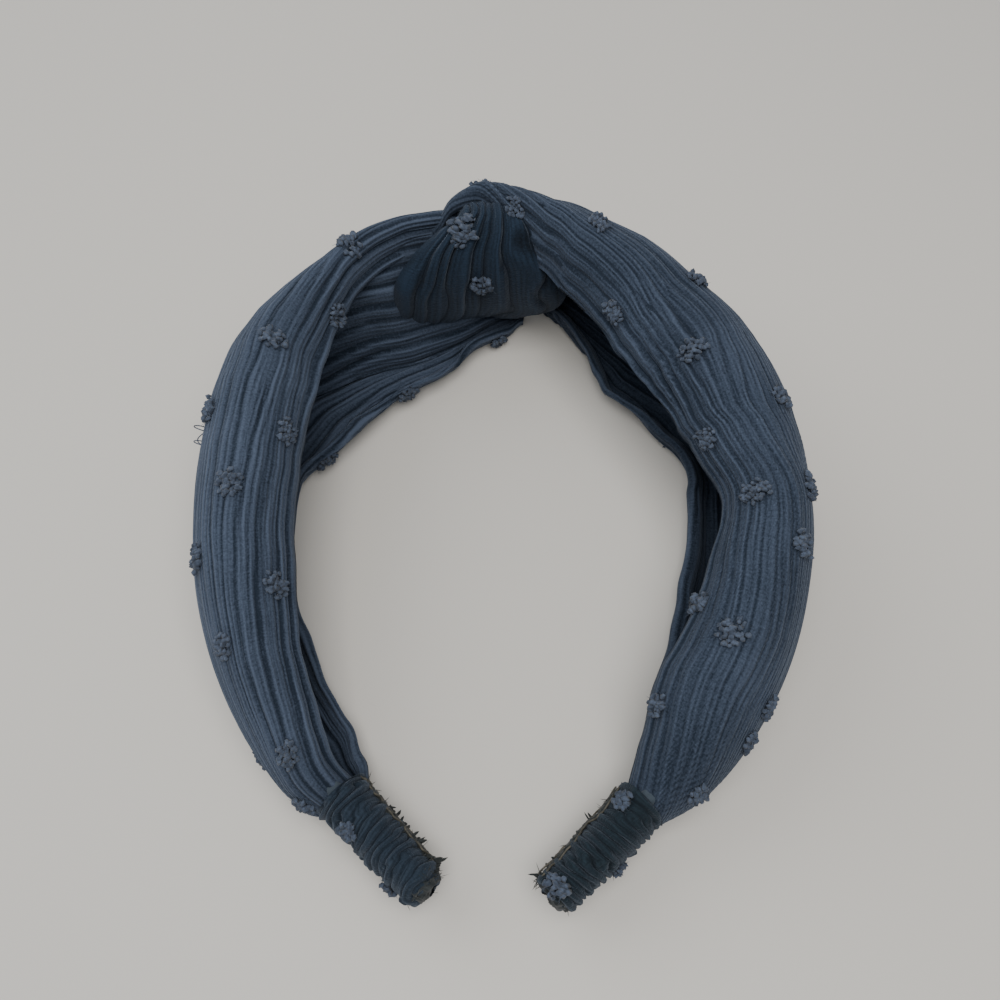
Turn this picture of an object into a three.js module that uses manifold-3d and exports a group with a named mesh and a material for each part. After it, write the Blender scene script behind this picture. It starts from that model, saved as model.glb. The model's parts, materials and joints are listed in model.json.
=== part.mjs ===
/**
 * A knotted headband: a springy plastic band in a lining sleeve, with a wide pleated drape
 * over each arm, a knot of cloth at the crown and a wound cloth binding at each tip.
 *
 * Millimetres, +Z up. The headband lies on its side: the U of the band is level, the crown is
 * towards +Y and the tips towards -Y. The origin is at the middle of the base of its bounding box.
 */
import * as THREE from 'three';
import { LoftGeometry } from 'three/addons/geometries/LoftGeometry.js';
import { mergeVertices } from 'three/addons/utils/BufferGeometryUtils.js';
import Module from 'manifold-3d';

const wasm = await Module();
wasm.setup();

// The band's middle line: a half-ellipse over the crown, a longer one down the arms, and a
// straight run at each tip. A place on it is an angle from the crown, positive down the right
// arm; the angle runs on along the straight tip, where each degree is a set length.
const BAND_HALF_WIDTH = 60;
const CROWN_RISE = 57;
const ARM_DROP = 84;
const STRAIGHT_ANGLE = 145;
const STRAIGHT_STEP = 1.15;
const CROWN_HEIGHT = 25;
const TIP_HEIGHT = 12;

// Stations along each arm, in degrees from the crown.
const FLEX_ANGLE = 24.8;
const BINDING_ANGLE = 145;
const TIP_ANGLE = 169;
const BAND_FLEX_GAP = 0.6;
const CLOTH_FLEX_GAP = 1.5;
const END_GAP = 0.4;
const CUT_PAST = 2;

// The plastic band and the lining sleeve around it.
const BAND_THICKNESS = 2;
const BAND_WIDTH = 20;
const BAND_TIP_WIDTH = 9;
const BAND_TAPER_ANGLE = 80;
const FIT_GAP = 0.3;
const SLEEVE_WALL = 0.9;

// The drapes: tubes of chiffon pressed flat and bent to a gutter that opens towards the head.
// The lower lip is squarer than the upper one and is pressed flat where it rests.
const DRAPE_WALL = 3;
const LIP_CURL = 150;
const LIP_STEPS = 16;
const REST_SQUARENESS = 0.75;
const REST_PRESS = 1.15;
// At even steps from the knot to the binding: how far the back stands out from the band's line,
// how far each lip reaches back in from there, and the heights of the lips above the base.
const RIGHT_DRAPE = {
  knotAngle: 10,
  out: [8, 7.5, 7.5, 7.5, 9, 8.5],
  top: [48, 49, 50, 49, 42, 26],
  topReach: [33, 33, 33, 30, 26, 17],
  bottom: [0, 0, 0, 0, 0, 1],
  bottomReach: [24, 30, 24, 23, 25, 18],
};
const LEFT_DRAPE = {
  knotAngle: 15,
  out: [7, 7, 7.5, 7.5, 9, 8.5],
  top: [46, 48, 50, 49, 42, 26],
  topReach: [16, 26, 29, 28, 24, 17],
  bottom: [0, 0, 0, 0, 0, 1],
  bottomReach: [30, 34, 25, 22, 25, 19],
};

// The knot of cloth around the crown.
const KNOT_LEFT_ANGLE = -14;
const KNOT_RIGHT_ANGLE = 9;
const KNOT_OUT = 9.5;
const KNOT_IN = -11.5;
const KNOT_HEIGHT = 48;
const KNOT_WAIST = 0.12;

// The wound bindings, the folded tips and the glue seams.
const BINDING_TURNS = 13;
const RIDGE_DEPTH = 0.7;
const BINDING_START = { depth: 7, height: 9.9 };
const BINDING_END = { depth: 4.9, height: 7.4 };
const TIP_FOLD_LENGTH = 3.2;
const TIP_ROUNDNESS = 0.85;
const SEAM_INSET = 1.5;
const SEAM_WIDTH = 2.4;
const SEAM_THICKNESS = 0.8;

// The tack stitch that ties the knot to the lining.
const STITCH_RADIUS = 0.6;
const STITCH_LENGTH = 9;

/** The band's line at an angle from the crown, with the outward direction there, on the level. */
function levelStation(degrees) {
  const side = Math.sign(degrees) || 1;
  const bend = Math.min(Math.abs(degrees), STRAIGHT_ANGLE);
  const angle = THREE.MathUtils.degToRad(bend);
  const sin = Math.sin(angle);
  const cos = Math.cos(angle);
  const rise = cos > 0 ? CROWN_RISE : ARM_DROP;
  const forward = new THREE.Vector3(side * BAND_HALF_WIDTH * cos, -rise * sin, 0).normalize();
  const outward = new THREE.Vector3(side * rise * sin, BAND_HALF_WIDTH * cos, 0).normalize();
  const point = new THREE.Vector3(side * BAND_HALF_WIDTH * sin, rise * cos, 0);
  point.addScaledVector(forward, (Math.abs(degrees) - bend) * STRAIGHT_STEP);
  return { point, outward };
}

const TIP_Y = levelStation(TIP_ANGLE).point.y;

/** The same, with the band's middle falling evenly from the crown to the tips. */
function station(degrees) {
  const here = levelStation(degrees);
  const fall = (CROWN_RISE - here.point.y) / (CROWN_RISE - TIP_Y);
  here.point.z = THREE.MathUtils.lerp(CROWN_HEIGHT, TIP_HEIGHT, fall);
  return here;
}

/** A section's outline, given as [out, up] pairs, stood up across the band at a station. */
function placeSection({ point, outward }, outline, baseHeight) {
  return outline.map(([out, up]) => {
    const corner = point.clone().addScaledVector(outward, out);
    corner.z = baseHeight + up;
    return corner;
  });
}

/** A closed solid skinned over the sections that sectionAt gives, at even steps between two angles. */
function loft(oneAngle, otherAngle, steps, sectionAt) {
  const low = Math.min(oneAngle, otherAngle);
  const high = Math.max(oneAngle, otherAngle);
  const sections = [];
  for (let i = 0; i <= steps; i += 1) {
    sections.push(sectionAt(THREE.MathUtils.lerp(low, high, i / steps)));
  }
  return new LoftGeometry(sections, { capStart: true, capEnd: true });
}

/** The manifold-3d solid of a closed geometry. */
function toManifold(geometry) {
  const bare = new THREE.BufferGeometry();
  bare.setAttribute('position', geometry.getAttribute('position'));
  bare.setIndex(geometry.getIndex());
  const merged = mergeVertices(bare, 1e-4);
  return new wasm.Manifold(new wasm.Mesh({
    numProp: 3,
    vertProperties: new Float32Array(merged.attributes.position.array),
    triVerts: new Uint32Array(merged.index.array),
  }));
}

/** One geometry cut out of another. */
function cut(geometry, tool) {
  const result = toManifold(geometry).subtract(toManifold(tool)).getMesh();
  const left = new THREE.BufferGeometry();
  left.setAttribute('position', new THREE.BufferAttribute(new Float32Array(result.vertProperties), 3));
  left.setIndex(new THREE.BufferAttribute(new Uint32Array(result.triVerts), 1));
  left.computeVertexNormals();
  return left;
}

/** A value read smoothly from a row of values at even steps from 0 to 1. */
function along(values, share) {
  const curve = new THREE.SplineCurve(values.map((value, i) => new THREE.Vector2(i, value)));
  return curve.getPoint(THREE.MathUtils.clamp(share, 0, 1)).y;
}

/** An upright rectangle with cut corners, as [out, up] pairs about its middle. */
function slabOutline(thickness, height) {
  const out = thickness / 2;
  const up = height / 2;
  const corner = thickness * 0.3;
  return [
    [out, -up + corner], [out, up - corner], [out - corner, up], [-out + corner, up],
    [-out, up - corner], [-out, -up + corner], [-out + corner, -up], [out - corner, -up],
  ];
}

/** An upright oval, as [out, up] pairs about its middle. */
function ovalOutline(depth, height, steps) {
  const outline = [];
  for (let i = 0; i < steps; i += 1) {
    const angle = (2 * Math.PI * i) / steps;
    outline.push([depth * Math.cos(angle), height * Math.sin(angle)]);
  }
  return outline;
}

/** The band's width at an angle: full over the crown, then narrowing to the tips. */
function bandWidth(degrees) {
  const taper = THREE.MathUtils.smoothstep(Math.abs(degrees), BAND_TAPER_ANGLE, TIP_ANGLE);
  return THREE.MathUtils.lerp(BAND_WIDTH, BAND_TIP_WIDTH, taper);
}

/** A strip that follows the band, grown by a margin all round. */
function bandStrip(fromAngle, toAngle, margin) {
  const steps = Math.max(4, Math.round(Math.abs(toAngle - fromAngle) / 6));
  return loft(fromAngle, toAngle, steps, (degrees) => {
    const here = station(degrees);
    const outline = slabOutline(BAND_THICKNESS + 2 * margin, bandWidth(degrees) + 2 * margin);
    return placeSection(here, outline, here.point.z);
  });
}

/** The lining sleeve: a thin tube round the band, open at both ends. */
function sleeve(fromAngle, toAngle) {
  const past = CUT_PAST * Math.sign(toAngle - fromAngle);
  const outside = bandStrip(fromAngle, toAngle, FIT_GAP + SLEEVE_WALL);
  const inside = bandStrip(fromAngle - past, toAngle + past, FIT_GAP);
  return cut(outside, inside);
}

/** A drape's gutter section: one wall from the bottom lip, round the back, to the top lip. */
function drapeOutline({ out, top, topReach, bottomReach }) {
  const curl = THREE.MathUtils.degToRad(LIP_CURL);
  const fullTurn = 1 - Math.cos(curl);
  const wallAt = (angle, inset) => {
    const reach = (angle > 0 ? topReach : bottomReach) / fullTurn;
    const halfHeight = top / 2 - inset;
    const sunk = REST_PRESS * Math.abs(Math.sin(angle)) ** REST_SQUARENESS;
    const swing = angle > 0 ? Math.sin(angle) : -Math.min(1, sunk);
    return [out - inset - (reach - inset) * (1 - Math.cos(angle)), top / 2 + halfHeight * swing];
  };
  const outside = [];
  const inside = [];
  for (let i = 0; i <= LIP_STEPS; i += 1) {
    const angle = THREE.MathUtils.lerp(-curl, curl, i / LIP_STEPS);
    outside.push(wallAt(angle, 0));
    inside.unshift(wallAt(angle, DRAPE_WALL));
  }
  return outside.concat(inside);
}

/** The part of a drape between two angles; its shape runs on from the knot to the binding. */
function drape(shape, fromAngle, toAngle, steps) {
  return loft(fromAngle, toAngle, steps, (degrees) => {
    const share = (Math.abs(degrees) - shape.knotAngle) / (BINDING_ANGLE - shape.knotAngle);
    const bottom = Math.max(0, along(shape.bottom, share));
    const outline = drapeOutline({
      out: along(shape.out, share),
      top: along(shape.top, share) - bottom,
      topReach: along(shape.topReach, share),
      bottomReach: along(shape.bottomReach, share),
    });
    return placeSection(station(degrees), outline, bottom);
  });
}

/** The knot: a full bundle of cloth round the crown, waisted a little, with a slot for the band. */
function knot() {
  const depth = (KNOT_OUT - KNOT_IN) / 2;
  const middle = (KNOT_OUT + KNOT_IN) / 2;
  const bundle = loft(KNOT_LEFT_ANGLE, KNOT_RIGHT_ANGLE, 8, (degrees) => {
    const share = (degrees - KNOT_LEFT_ANGLE) / (KNOT_RIGHT_ANGLE - KNOT_LEFT_ANGLE);
    const fullness = 1 - KNOT_WAIST * (2 * share - 1) ** 2;
    const outline = ovalOutline(depth * fullness, KNOT_HEIGHT / 2, 28).map(([out, up]) => [middle + out, up]);
    return placeSection(station(degrees), outline, KNOT_HEIGHT / 2);
  });
  const margin = 2 * FIT_GAP + SLEEVE_WALL;
  return cut(bundle, bandStrip(KNOT_LEFT_ANGLE - CUT_PAST, KNOT_RIGHT_ANGLE + CUT_PAST, margin));
}

/** How far along its binding an angle lies, from 0 at the drape to 1 at the tip. */
function bindingShare(degrees) {
  return (Math.abs(degrees) - BINDING_ANGLE) / (TIP_ANGLE - BINDING_ANGLE);
}

/** A binding's half sizes between its ridges, out from the band's line and up. */
function bindingSize(degrees) {
  const share = bindingShare(degrees);
  return {
    depth: THREE.MathUtils.lerp(BINDING_START.depth, BINDING_END.depth, share),
    height: THREE.MathUtils.lerp(BINDING_START.height, BINDING_END.height, share),
  };
}

/** A binding: a tapering oval sleeve of wound ridges, with a slot for the covered band. */
function binding(side) {
  const start = side * (BINDING_ANGLE + END_GAP);
  const end = side * TIP_ANGLE;
  const wound = loft(start, end, 2 * BINDING_TURNS, (degrees) => {
    const here = station(degrees);
    const { depth, height } = bindingSize(degrees);
    const turn = bindingShare(degrees) * BINDING_TURNS;
    const ridge = RIDGE_DEPTH * Math.abs(Math.sin(Math.PI * (turn - 0.25)));
    return placeSection(here, ovalOutline(depth + ridge, height + ridge, 20), here.point.z);
  });
  const past = side * CUT_PAST;
  return cut(wound, bandStrip(start - past, end + past, 2 * FIT_GAP + SLEEVE_WALL));
}

/** A tip fold: the rounded cloth end that closes the tip, just past the end of the band. */
function tipFold(side) {
  const from = TIP_ANGLE + END_GAP;
  const to = from + TIP_FOLD_LENGTH / STRAIGHT_STEP;
  return loft(side * from, side * to, 4, (degrees) => {
    const here = station(degrees);
    const share = (Math.abs(degrees) - from) / (to - from);
    const roundness = Math.sqrt(1 - (TIP_ROUNDNESS * share) ** 2);
    const outline = ovalOutline(BINDING_END.depth * roundness, BINDING_END.height * roundness, 16);
    return placeSection(here, outline, here.point.z);
  });
}

/** A glue seam: the dried bead along the head side of a binding. */
function glueSeam(side) {
  const outline = slabOutline(SEAM_THICKNESS, SEAM_WIDTH);
  return loft(side * (BINDING_ANGLE + SEAM_INSET), side * (TIP_ANGLE - SEAM_INSET), 8, (degrees) => {
    const here = station(degrees);
    const away = bindingSize(degrees).depth + RIDGE_DEPTH + FIT_GAP + SEAM_THICKNESS / 2;
    return placeSection(here, outline.map(([out, up]) => [out - away, up]), here.point.z);
  });
}

/** The tack stitch: a short bar of thread on the head side of the knot. */
function tackStitch() {
  const bar = new THREE.CapsuleGeometry(STITCH_RADIUS, STITCH_LENGTH, 3, 8);
  bar.rotateZ(Math.PI / 2);
  bar.translate(0, CROWN_RISE + KNOT_IN - STITCH_RADIUS - FIT_GAP, CROWN_HEIGHT);
  return mergeVertices(bar);
}

const chiffon = { color: 0x4a5666, roughness: 0.85, metalness: 0 };
const lining = { color: 0x3b4654, roughness: 0.8, metalness: 0 };
const plastic = { color: 0x1c1e22, roughness: 0.45, metalness: 0 };
const thread = { color: 0x2b3a45, roughness: 0.8, metalness: 0 };
const glue = { color: 0x8a7f6c, roughness: 0.6, metalness: 0 };

const headband = new THREE.Group();

/** One named piece of the headband. */
function addPiece(name, geometry, finish) {
  const mesh = new THREE.Mesh(geometry, new THREE.MeshStandardMaterial(finish));
  mesh.name = name;
  headband.add(mesh);
}

const bandFlex = FLEX_ANGLE - BAND_FLEX_GAP;
const clothFlex = FLEX_ANGLE - CLOTH_FLEX_GAP;
addPiece('core_crown', bandStrip(-bandFlex, bandFlex, 0), plastic);
addPiece('crown_sleeve', sleeve(-bandFlex, bandFlex), lining);
addPiece('knot_wrap', knot(), chiffon);
addPiece('knot_stitch', tackStitch(), thread);

for (const [name, side, shape] of [['left', -1, LEFT_DRAPE], ['right', 1, RIGHT_DRAPE]]) {
  const armStart = side * (FLEX_ANGLE + BAND_FLEX_GAP);
  addPiece(`${name}_drape_shoulder`, drape(shape, side * shape.knotAngle, side * clothFlex, 4), chiffon);
  addPiece(`core_${name}`, bandStrip(armStart, side * (TIP_ANGLE - END_GAP), 0), plastic);
  addPiece(`${name}_sleeve`, sleeve(armStart, side * TIP_ANGLE), lining);
  addPiece(`${name}_drape`, drape(shape, side * (FLEX_ANGLE + CLOTH_FLEX_GAP), side * BINDING_ANGLE, 24), chiffon);
  addPiece(`${name}_binding`, binding(side), thread);
  addPiece(`${name}_tip_fold`, tipFold(side), lining);
  addPiece(`${name}_glue_seam`, glueSeam(side), glue);
}

const bounds = new THREE.Box3().setFromObject(headband);
const middle = bounds.getCenter(new THREE.Vector3());
headband.position.set(-middle.x, -middle.y, -bounds.min.z);

export default headband;
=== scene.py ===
"""The looks of a knotted headband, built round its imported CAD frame.

A springy band in a lining sleeve carries two pleated chiffon drapes, a knot at the crown and a
wound cloth binding at each tip. Every surface is a grid of points worked out with numpy from
the band's own line. A place along the band is an angle from the crown, positive down the right
arm, and a place in a section is a pair: out from the band's line, and up from the base. Lengths
are in metres.
"""

import json
import logging
import math
from abc import ABC, abstractmethod
from dataclasses import dataclass, field
from enum import Enum

import bpy
import numpy as np
from mathutils import Matrix, Vector


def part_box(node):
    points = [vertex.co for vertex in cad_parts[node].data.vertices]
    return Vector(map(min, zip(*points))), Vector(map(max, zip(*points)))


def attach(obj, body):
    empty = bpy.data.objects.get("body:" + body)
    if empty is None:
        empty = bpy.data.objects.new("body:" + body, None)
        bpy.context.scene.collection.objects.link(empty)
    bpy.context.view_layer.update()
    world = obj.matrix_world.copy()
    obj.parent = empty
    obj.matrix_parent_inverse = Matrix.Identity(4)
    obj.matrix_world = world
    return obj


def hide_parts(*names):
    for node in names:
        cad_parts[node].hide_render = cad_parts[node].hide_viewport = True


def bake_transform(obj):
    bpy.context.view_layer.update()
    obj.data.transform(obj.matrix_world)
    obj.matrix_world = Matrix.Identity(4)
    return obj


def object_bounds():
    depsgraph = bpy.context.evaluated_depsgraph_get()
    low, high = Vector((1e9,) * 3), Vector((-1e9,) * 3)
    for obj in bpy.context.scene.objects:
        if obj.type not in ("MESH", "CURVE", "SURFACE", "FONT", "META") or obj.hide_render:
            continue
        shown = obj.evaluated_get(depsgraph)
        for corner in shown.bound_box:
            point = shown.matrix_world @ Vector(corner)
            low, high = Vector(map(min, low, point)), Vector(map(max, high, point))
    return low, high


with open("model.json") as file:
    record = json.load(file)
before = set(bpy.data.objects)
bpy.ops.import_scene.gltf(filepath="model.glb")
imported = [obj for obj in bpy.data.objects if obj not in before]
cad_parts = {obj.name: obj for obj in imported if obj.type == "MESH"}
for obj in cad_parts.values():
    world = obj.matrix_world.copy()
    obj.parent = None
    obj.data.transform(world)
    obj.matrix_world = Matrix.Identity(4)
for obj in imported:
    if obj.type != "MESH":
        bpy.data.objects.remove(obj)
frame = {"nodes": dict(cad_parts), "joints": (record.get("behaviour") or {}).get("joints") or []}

log = logging.getLogger("headband")

MM = 0.001
LATTICE = 64
# Angles from the crown at the ends of a blend to the arm; no piece is bent by them.
BLEND_FROM, BLEND_TO = 14.0, 42.0
FLOOR_GAP = 0.1 * MM
# The inner layer's folds are broader by this share, and counted from this place in millimetres.
INNER_SHARE, INNER_START = 0.72, 31
# How many loops each ring of a flower has, and how far out it lies from 0 to 1.
FLOWER_RINGS = ((14, 0.82), (11, 0.55), (7, 0.3), (2, 0.05))
TAU = 2 * math.pi
Knots = tuple[tuple[float, float], ...]
Pairs = tuple[tuple[float, float], ...]
Colour = tuple[float, float, float]
Shape = tuple[np.ndarray, np.ndarray]


class Side(Enum):
    """An arm of the headband, with the sign of its angles."""

    LEFT = -1
    RIGHT = 1

    @property
    def word(self) -> str:
        """The side's name in piece names."""
        return self.name.lower()


# ---------------------------------------------------------------- numbers and curves


def smooth_noise(x: np.ndarray, y: np.ndarray, seed: int) -> np.ndarray:
    """Smooth noise: random values on a wrapped square lattice, eased between neighbours.

    Args:
        x: First coordinates, one lattice cell per unit.
        y: Second coordinates, of a shape that broadcasts with x.
        seed: Picks the lattice.

    Returns:
        Values from -1 to 1.
    """
    lattice = np.random.default_rng(seed).uniform(-1, 1, (LATTICE, LATTICE))
    x, y = np.broadcast_arrays(x, y)
    column, row = np.floor(x).astype(int), np.floor(y).astype(int)
    across, down = x - column, y - row
    across, down = across**2 * (3 - 2 * across), down**2 * (3 - 2 * down)
    left, right = column % LATTICE, (column + 1) % LATTICE
    top, bottom = row % LATTICE, (row + 1) % LATTICE
    upper = lattice[top, left] * (1 - across) + lattice[top, right] * across
    lower = lattice[bottom, left] * (1 - across) + lattice[bottom, right] * across
    return upper * (1 - down) + lower * down


def through(knots: Knots, x: np.ndarray) -> np.ndarray:
    """A smooth curve through (place, value) pairs that never overshoots them, level past its ends.

    Cubic Hermite pieces. A knot's slope is the harmonic mean of the slopes on its two sides, or
    level where they differ in sign.

    Args:
        knots: The pairs, in order of place.
        x: The places to read.

    Returns:
        The values there.
    """
    place = np.array([k[0] for k in knots], float)
    value = np.array([k[1] for k in knots], float)
    step = np.diff(value) / np.diff(place)
    product = step[:-1] * step[1:]
    total = np.where(product > 0, step[:-1] + step[1:], 1.0)
    slope = np.concatenate([[0.0], np.where(product > 0, 2 * product / total, 0.0), [0.0]])
    x = np.clip(x, place[0], place[-1])
    i = np.clip(np.searchsorted(place, x, side="right") - 1, 0, len(place) - 2)
    width = place[i + 1] - place[i]
    t = (x - place[i]) / width
    rest = 1 - t
    ends = value[i] * (1 + 2 * t) * rest**2 + value[i + 1] * (3 - 2 * t) * t**2
    return ends + width * (slope[i] * t * rest**2 - slope[i + 1] * rest * t**2)


def knife_fold(phase: np.ndarray, lean: float, crease: float) -> np.ndarray:
    """The height of a row of folds that lean one way, from 0 in each crease to 1 on each ridge.

    Each fold is a quarter sine up to its ridge and a quarter cosine down to the next crease, and
    a power sharpens the crease.

    Args:
        phase: Counts folds, one per unit.
        lean: Where the ridge lies in its fold, from 0 to 1.
        crease: The power; below 1 gives full folds with narrow creases.

    Returns:
        Heights from 0 to 1.
    """
    f = phase - np.floor(phase)
    up = np.sin(np.pi / 2 * np.minimum(f / lean, 1))
    down = np.cos(np.pi / 2 * np.clip((f - lean) / (1 - lean), 0, 1))
    return (up * down) ** crease


def fold_row(
    phase: np.ndarray, along: np.ndarray, lean: float, seed: int
) -> tuple[np.ndarray, np.ndarray]:
    """A row of folds, each with its own strength that changes slowly along it.

    The strength is smooth noise read at a place of each fold's own, so it only jumps in the
    creases, where the height is 0. The tone is a half on a flat, more on a narrow line along
    the ridge as a painted highlight and less in a narrow line along the crease as painted shade.

    Args:
        phase: Counts folds, one per unit.
        along: A place along the folds, one unit for a slow change.
        lean: Where the ridge lies in its fold, from 0 to 1.
        seed: Picks the strengths.

    Returns:
        Heights from 0 to 1 and tones from 0 to 1.
    """
    index = np.floor(phase)
    f = phase - index
    strength = np.clip(0.66 + 0.5 * smooth_noise(index * 5.37 + 0.5, along, seed), 0.36, 1)
    crease = bump(f, 0, 0.1) + bump(f, 1, 0.13)
    # Painted highlight along the ridge, painted shade in the crease.
    tone = 0.5 + strength * (0.6 * bump(f, lean, 0.09) - 1.1 * crease)
    return strength * knife_fold(phase, lean, 0.6), tone


def bump(x: np.ndarray, middle: float, reach: float) -> np.ndarray:
    """A bell that is 1 at the middle and falls by a factor e at the reach."""
    return np.exp(-(((x - middle) / reach) ** 2))


def ramp(x: np.ndarray, low: float, high: float) -> np.ndarray:
    """An eased step from 0 at low to 1 at high; low may be the greater."""
    t = np.clip((x - low) / (high - low), 0, 1)
    return t * t * (3 - 2 * t)


def unit(vectors: np.ndarray) -> np.ndarray:
    """The vectors along the last axis, each made one long."""
    return vectors / np.maximum(np.linalg.norm(vectors, axis=-1, keepdims=True), 1e-12)


@dataclass(frozen=True)
class BandLine:
    """The band's middle line: half an ellipse, a longer one down the arms, and straight tips."""

    half_width: float
    rise: float
    centre_y: float
    drop: float = 0.084
    straight_angle: float = 145.0
    straight_step: float = 0.00115
    tip_angle: float = 169.0
    crown_height: float = 0.025
    tip_height: float = 0.012

    @classmethod
    def from_frame(cls) -> "BandLine":
        """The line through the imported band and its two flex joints."""
        half_thickness = 1 * MM
        half_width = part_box("core_right")[1].x - half_thickness
        top_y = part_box("core_crown")[1].y - half_thickness
        flex = frame["joints"][1]["pos_m"]
        cosine = math.sqrt(1 - (flex[0] / half_width) ** 2)
        rise = (top_y - flex[1]) / (1 - cosine)
        return cls(half_width, rise, top_y - rise)

    def at(self, angle: np.ndarray) -> tuple[np.ndarray, np.ndarray, np.ndarray]:
        """Points of the line, with the outward and forward directions there.

        The point at an angle a from the crown is (half width times sin a, rise times cos a), with
        the drop for the rise past a right angle; past the straight angle the line runs on along
        its tangent. The height falls evenly with y from the crown to the tips.

        Args:
            angle: Angles from the crown in degrees, in an array of any shape.

        Returns:
            Points, outward directions and directions away from the crown, each (..., 3).
        """
        angle = np.asarray(angle, float)
        side = np.where(angle < 0, -1.0, 1.0)
        bend = np.minimum(np.abs(angle), self.straight_angle)
        sin, cos = np.sin(np.radians(bend)), np.cos(np.radians(bend))
        rise = np.where(cos > 0, self.rise, self.drop)
        flat = np.zeros_like(angle)
        forward = unit(np.stack([side * self.half_width * cos, -rise * sin, flat], -1))
        outward = unit(np.stack([side * rise * sin, self.half_width * cos, flat], -1))
        point = np.stack([side * self.half_width * sin, rise * cos, flat], -1)
        run = (np.abs(angle) - bend) * self.straight_step
        point += forward * run[..., None]
        tip_bend = math.radians(self.straight_angle)
        tip_y = self.drop * math.cos(tip_bend)
        tip_y -= (self.tip_angle - self.straight_angle) * self.straight_step * math.sin(tip_bend)
        fall = (self.rise - point[..., 1]) / (self.rise - tip_y)
        point[..., 2] = self.crown_height + (self.tip_height - self.crown_height) * fall
        point[..., 1] += self.centre_y
        return point, outward, forward

    def place(self, angle: np.ndarray, out: np.ndarray, up: np.ndarray) -> np.ndarray:
        """Points at an angle along the band, out from its line, and up from the base."""
        angle, out, up = np.broadcast_arrays(angle, out, up)
        point, outward, _ = self.at(angle)
        placed = point + outward * out[..., None]
        placed[..., 2] = up
        return placed


# ---------------------------------------------------------------- meshes


def grid_faces(rows: int, columns: int, closed: bool) -> np.ndarray:
    """The four corners of each face of a grid whose points are numbered row by row."""
    wide = columns if closed else columns - 1
    r, c = np.meshgrid(np.arange(rows - 1), np.arange(wide), indexing="ij")
    here, right = r * columns + c, r * columns + (c + 1) % columns
    return np.stack([here, right, right + columns, here + columns], -1).reshape(-1, 4)


def make_mesh(
    name: str,
    points: np.ndarray,
    faces: np.ndarray,
    uv: np.ndarray | None = None,
    values: dict[str, np.ndarray] | None = None,
) -> bpy.types.Object:
    """A smooth-shaded mesh object of four-sided faces, linked to the scene.

    Args:
        name: The piece's name.
        points: The vertices, (n, 3).
        faces: Vertex numbers, (m, 4), in order round each face, seen from outside.
        uv: Texture places of the faces' corners, (4 m, 2).
        values: Named numbers, one per vertex, for the materials.

    Returns:
        The object, at the origin.
    """
    mesh = bpy.data.meshes.new(name)
    mesh.vertices.add(len(points))
    mesh.vertices.foreach_set("co", points.astype(np.float32).ravel())
    mesh.loops.add(faces.size)
    mesh.loops.foreach_set("vertex_index", faces.astype(np.int32).ravel())
    mesh.polygons.add(len(faces))
    mesh.polygons.foreach_set("loop_start", np.arange(0, faces.size, 4, dtype=np.int32))
    mesh.polygons.foreach_set("use_smooth", np.ones(len(faces), bool))
    if uv is not None:
        mesh.uv_layers.new(name="cloth").data.foreach_set("uv", uv.astype(np.float32).ravel())
    for key, value in (values or {}).items():
        held = mesh.attributes.new(key, "FLOAT", "POINT")
        held.data.foreach_set("value", value.astype(np.float32).ravel())
    mesh.update(calc_edges=True)
    piece = bpy.data.objects.new(name, mesh)
    bpy.context.scene.collection.objects.link(piece)
    return piece


def grid_piece(
    name: str,
    points: np.ndarray,
    closed: bool,
    across: np.ndarray,
    along: np.ndarray,
    values: dict[str, np.ndarray] | None = None,
    flip: bool = False,
    crossed: bool = False,
) -> bpy.types.Object:
    """A mesh object from a grid of points, with texture places measured along the cloth.

    Args:
        name: The piece's name.
        points: The grid, (rows, columns, 3).
        closed: Whether the last column joins the first.
        across: Each column's place round the section, or one row of them for each row of the
            grid; a closed grid has one more for the join.
        along: Each row's place along the piece.
        values: Named numbers on the grid's points.
        flip: Turns the faces over.
        crossed: Whether the pleats run round the rows instead of down the columns.

    Returns:
        The object.
    """
    rows, columns = points.shape[:2]
    faces = grid_faces(rows, columns, closed)
    wide = columns if closed else columns - 1
    r, c = np.meshgrid(np.arange(rows - 1), np.arange(wide), indexing="ij")
    places = np.broadcast_to(across, (rows, wide + 1))
    u = np.stack([places[r, c], places[r, c + 1], places[r + 1, c + 1], places[r + 1, c]], -1)
    v = np.stack([along[r], along[r], along[r + 1], along[r + 1]], -1)
    uv = np.stack([v, u] if crossed else [u, v], -1).reshape(-1, 4, 2)
    if flip:
        faces, uv = faces[:, ::-1], uv[:, ::-1]
    return make_mesh(name, points.reshape(-1, 3), faces, uv.reshape(-1, 2), values)


def even_places(
    points: np.ndarray, width: float, length: float
) -> tuple[np.ndarray, np.ndarray]:
    """Texture places of a closed grid's columns and rows, evenly spaced over a cloth's size."""
    rows, columns = points.shape[:2]
    return np.linspace(0, width, columns + 1), np.linspace(0, length, rows)


def grid_normals(points: np.ndarray, closed: bool) -> np.ndarray:
    """Unit normals of a grid of points, from its central differences.

    Args:
        points: The grid, (rows, columns, 3).
        closed: Whether the last column joins the first.

    Returns:
        The cross product of the step along a row and the step between rows, made one long.
    """
    if closed:
        across = np.roll(points, -1, 1) - np.roll(points, 1, 1)
    else:
        across = np.gradient(points, axis=1)
    return unit(np.cross(across, np.gradient(points, axis=0)))


def facing_out(points: np.ndarray, middle: np.ndarray) -> float:
    """1 if a closed grid's normals point away from its middle on the whole, or -1."""
    away = (grid_normals(points, True) * (points - middle)).sum(-1)
    return float(np.sign(away.mean()))


def grid_area(points: np.ndarray, closed: bool) -> float:
    """The area of a grid of points, as the sum of its faces' half diagonal products."""
    if closed:
        points = np.concatenate([points, points[:, :1]], 1)
    first = points[1:, 1:] - points[:-1, :-1]
    second = points[1:, :-1] - points[:-1, 1:]
    return float(np.linalg.norm(np.cross(first, second), axis=-1).sum() / 2)


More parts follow.
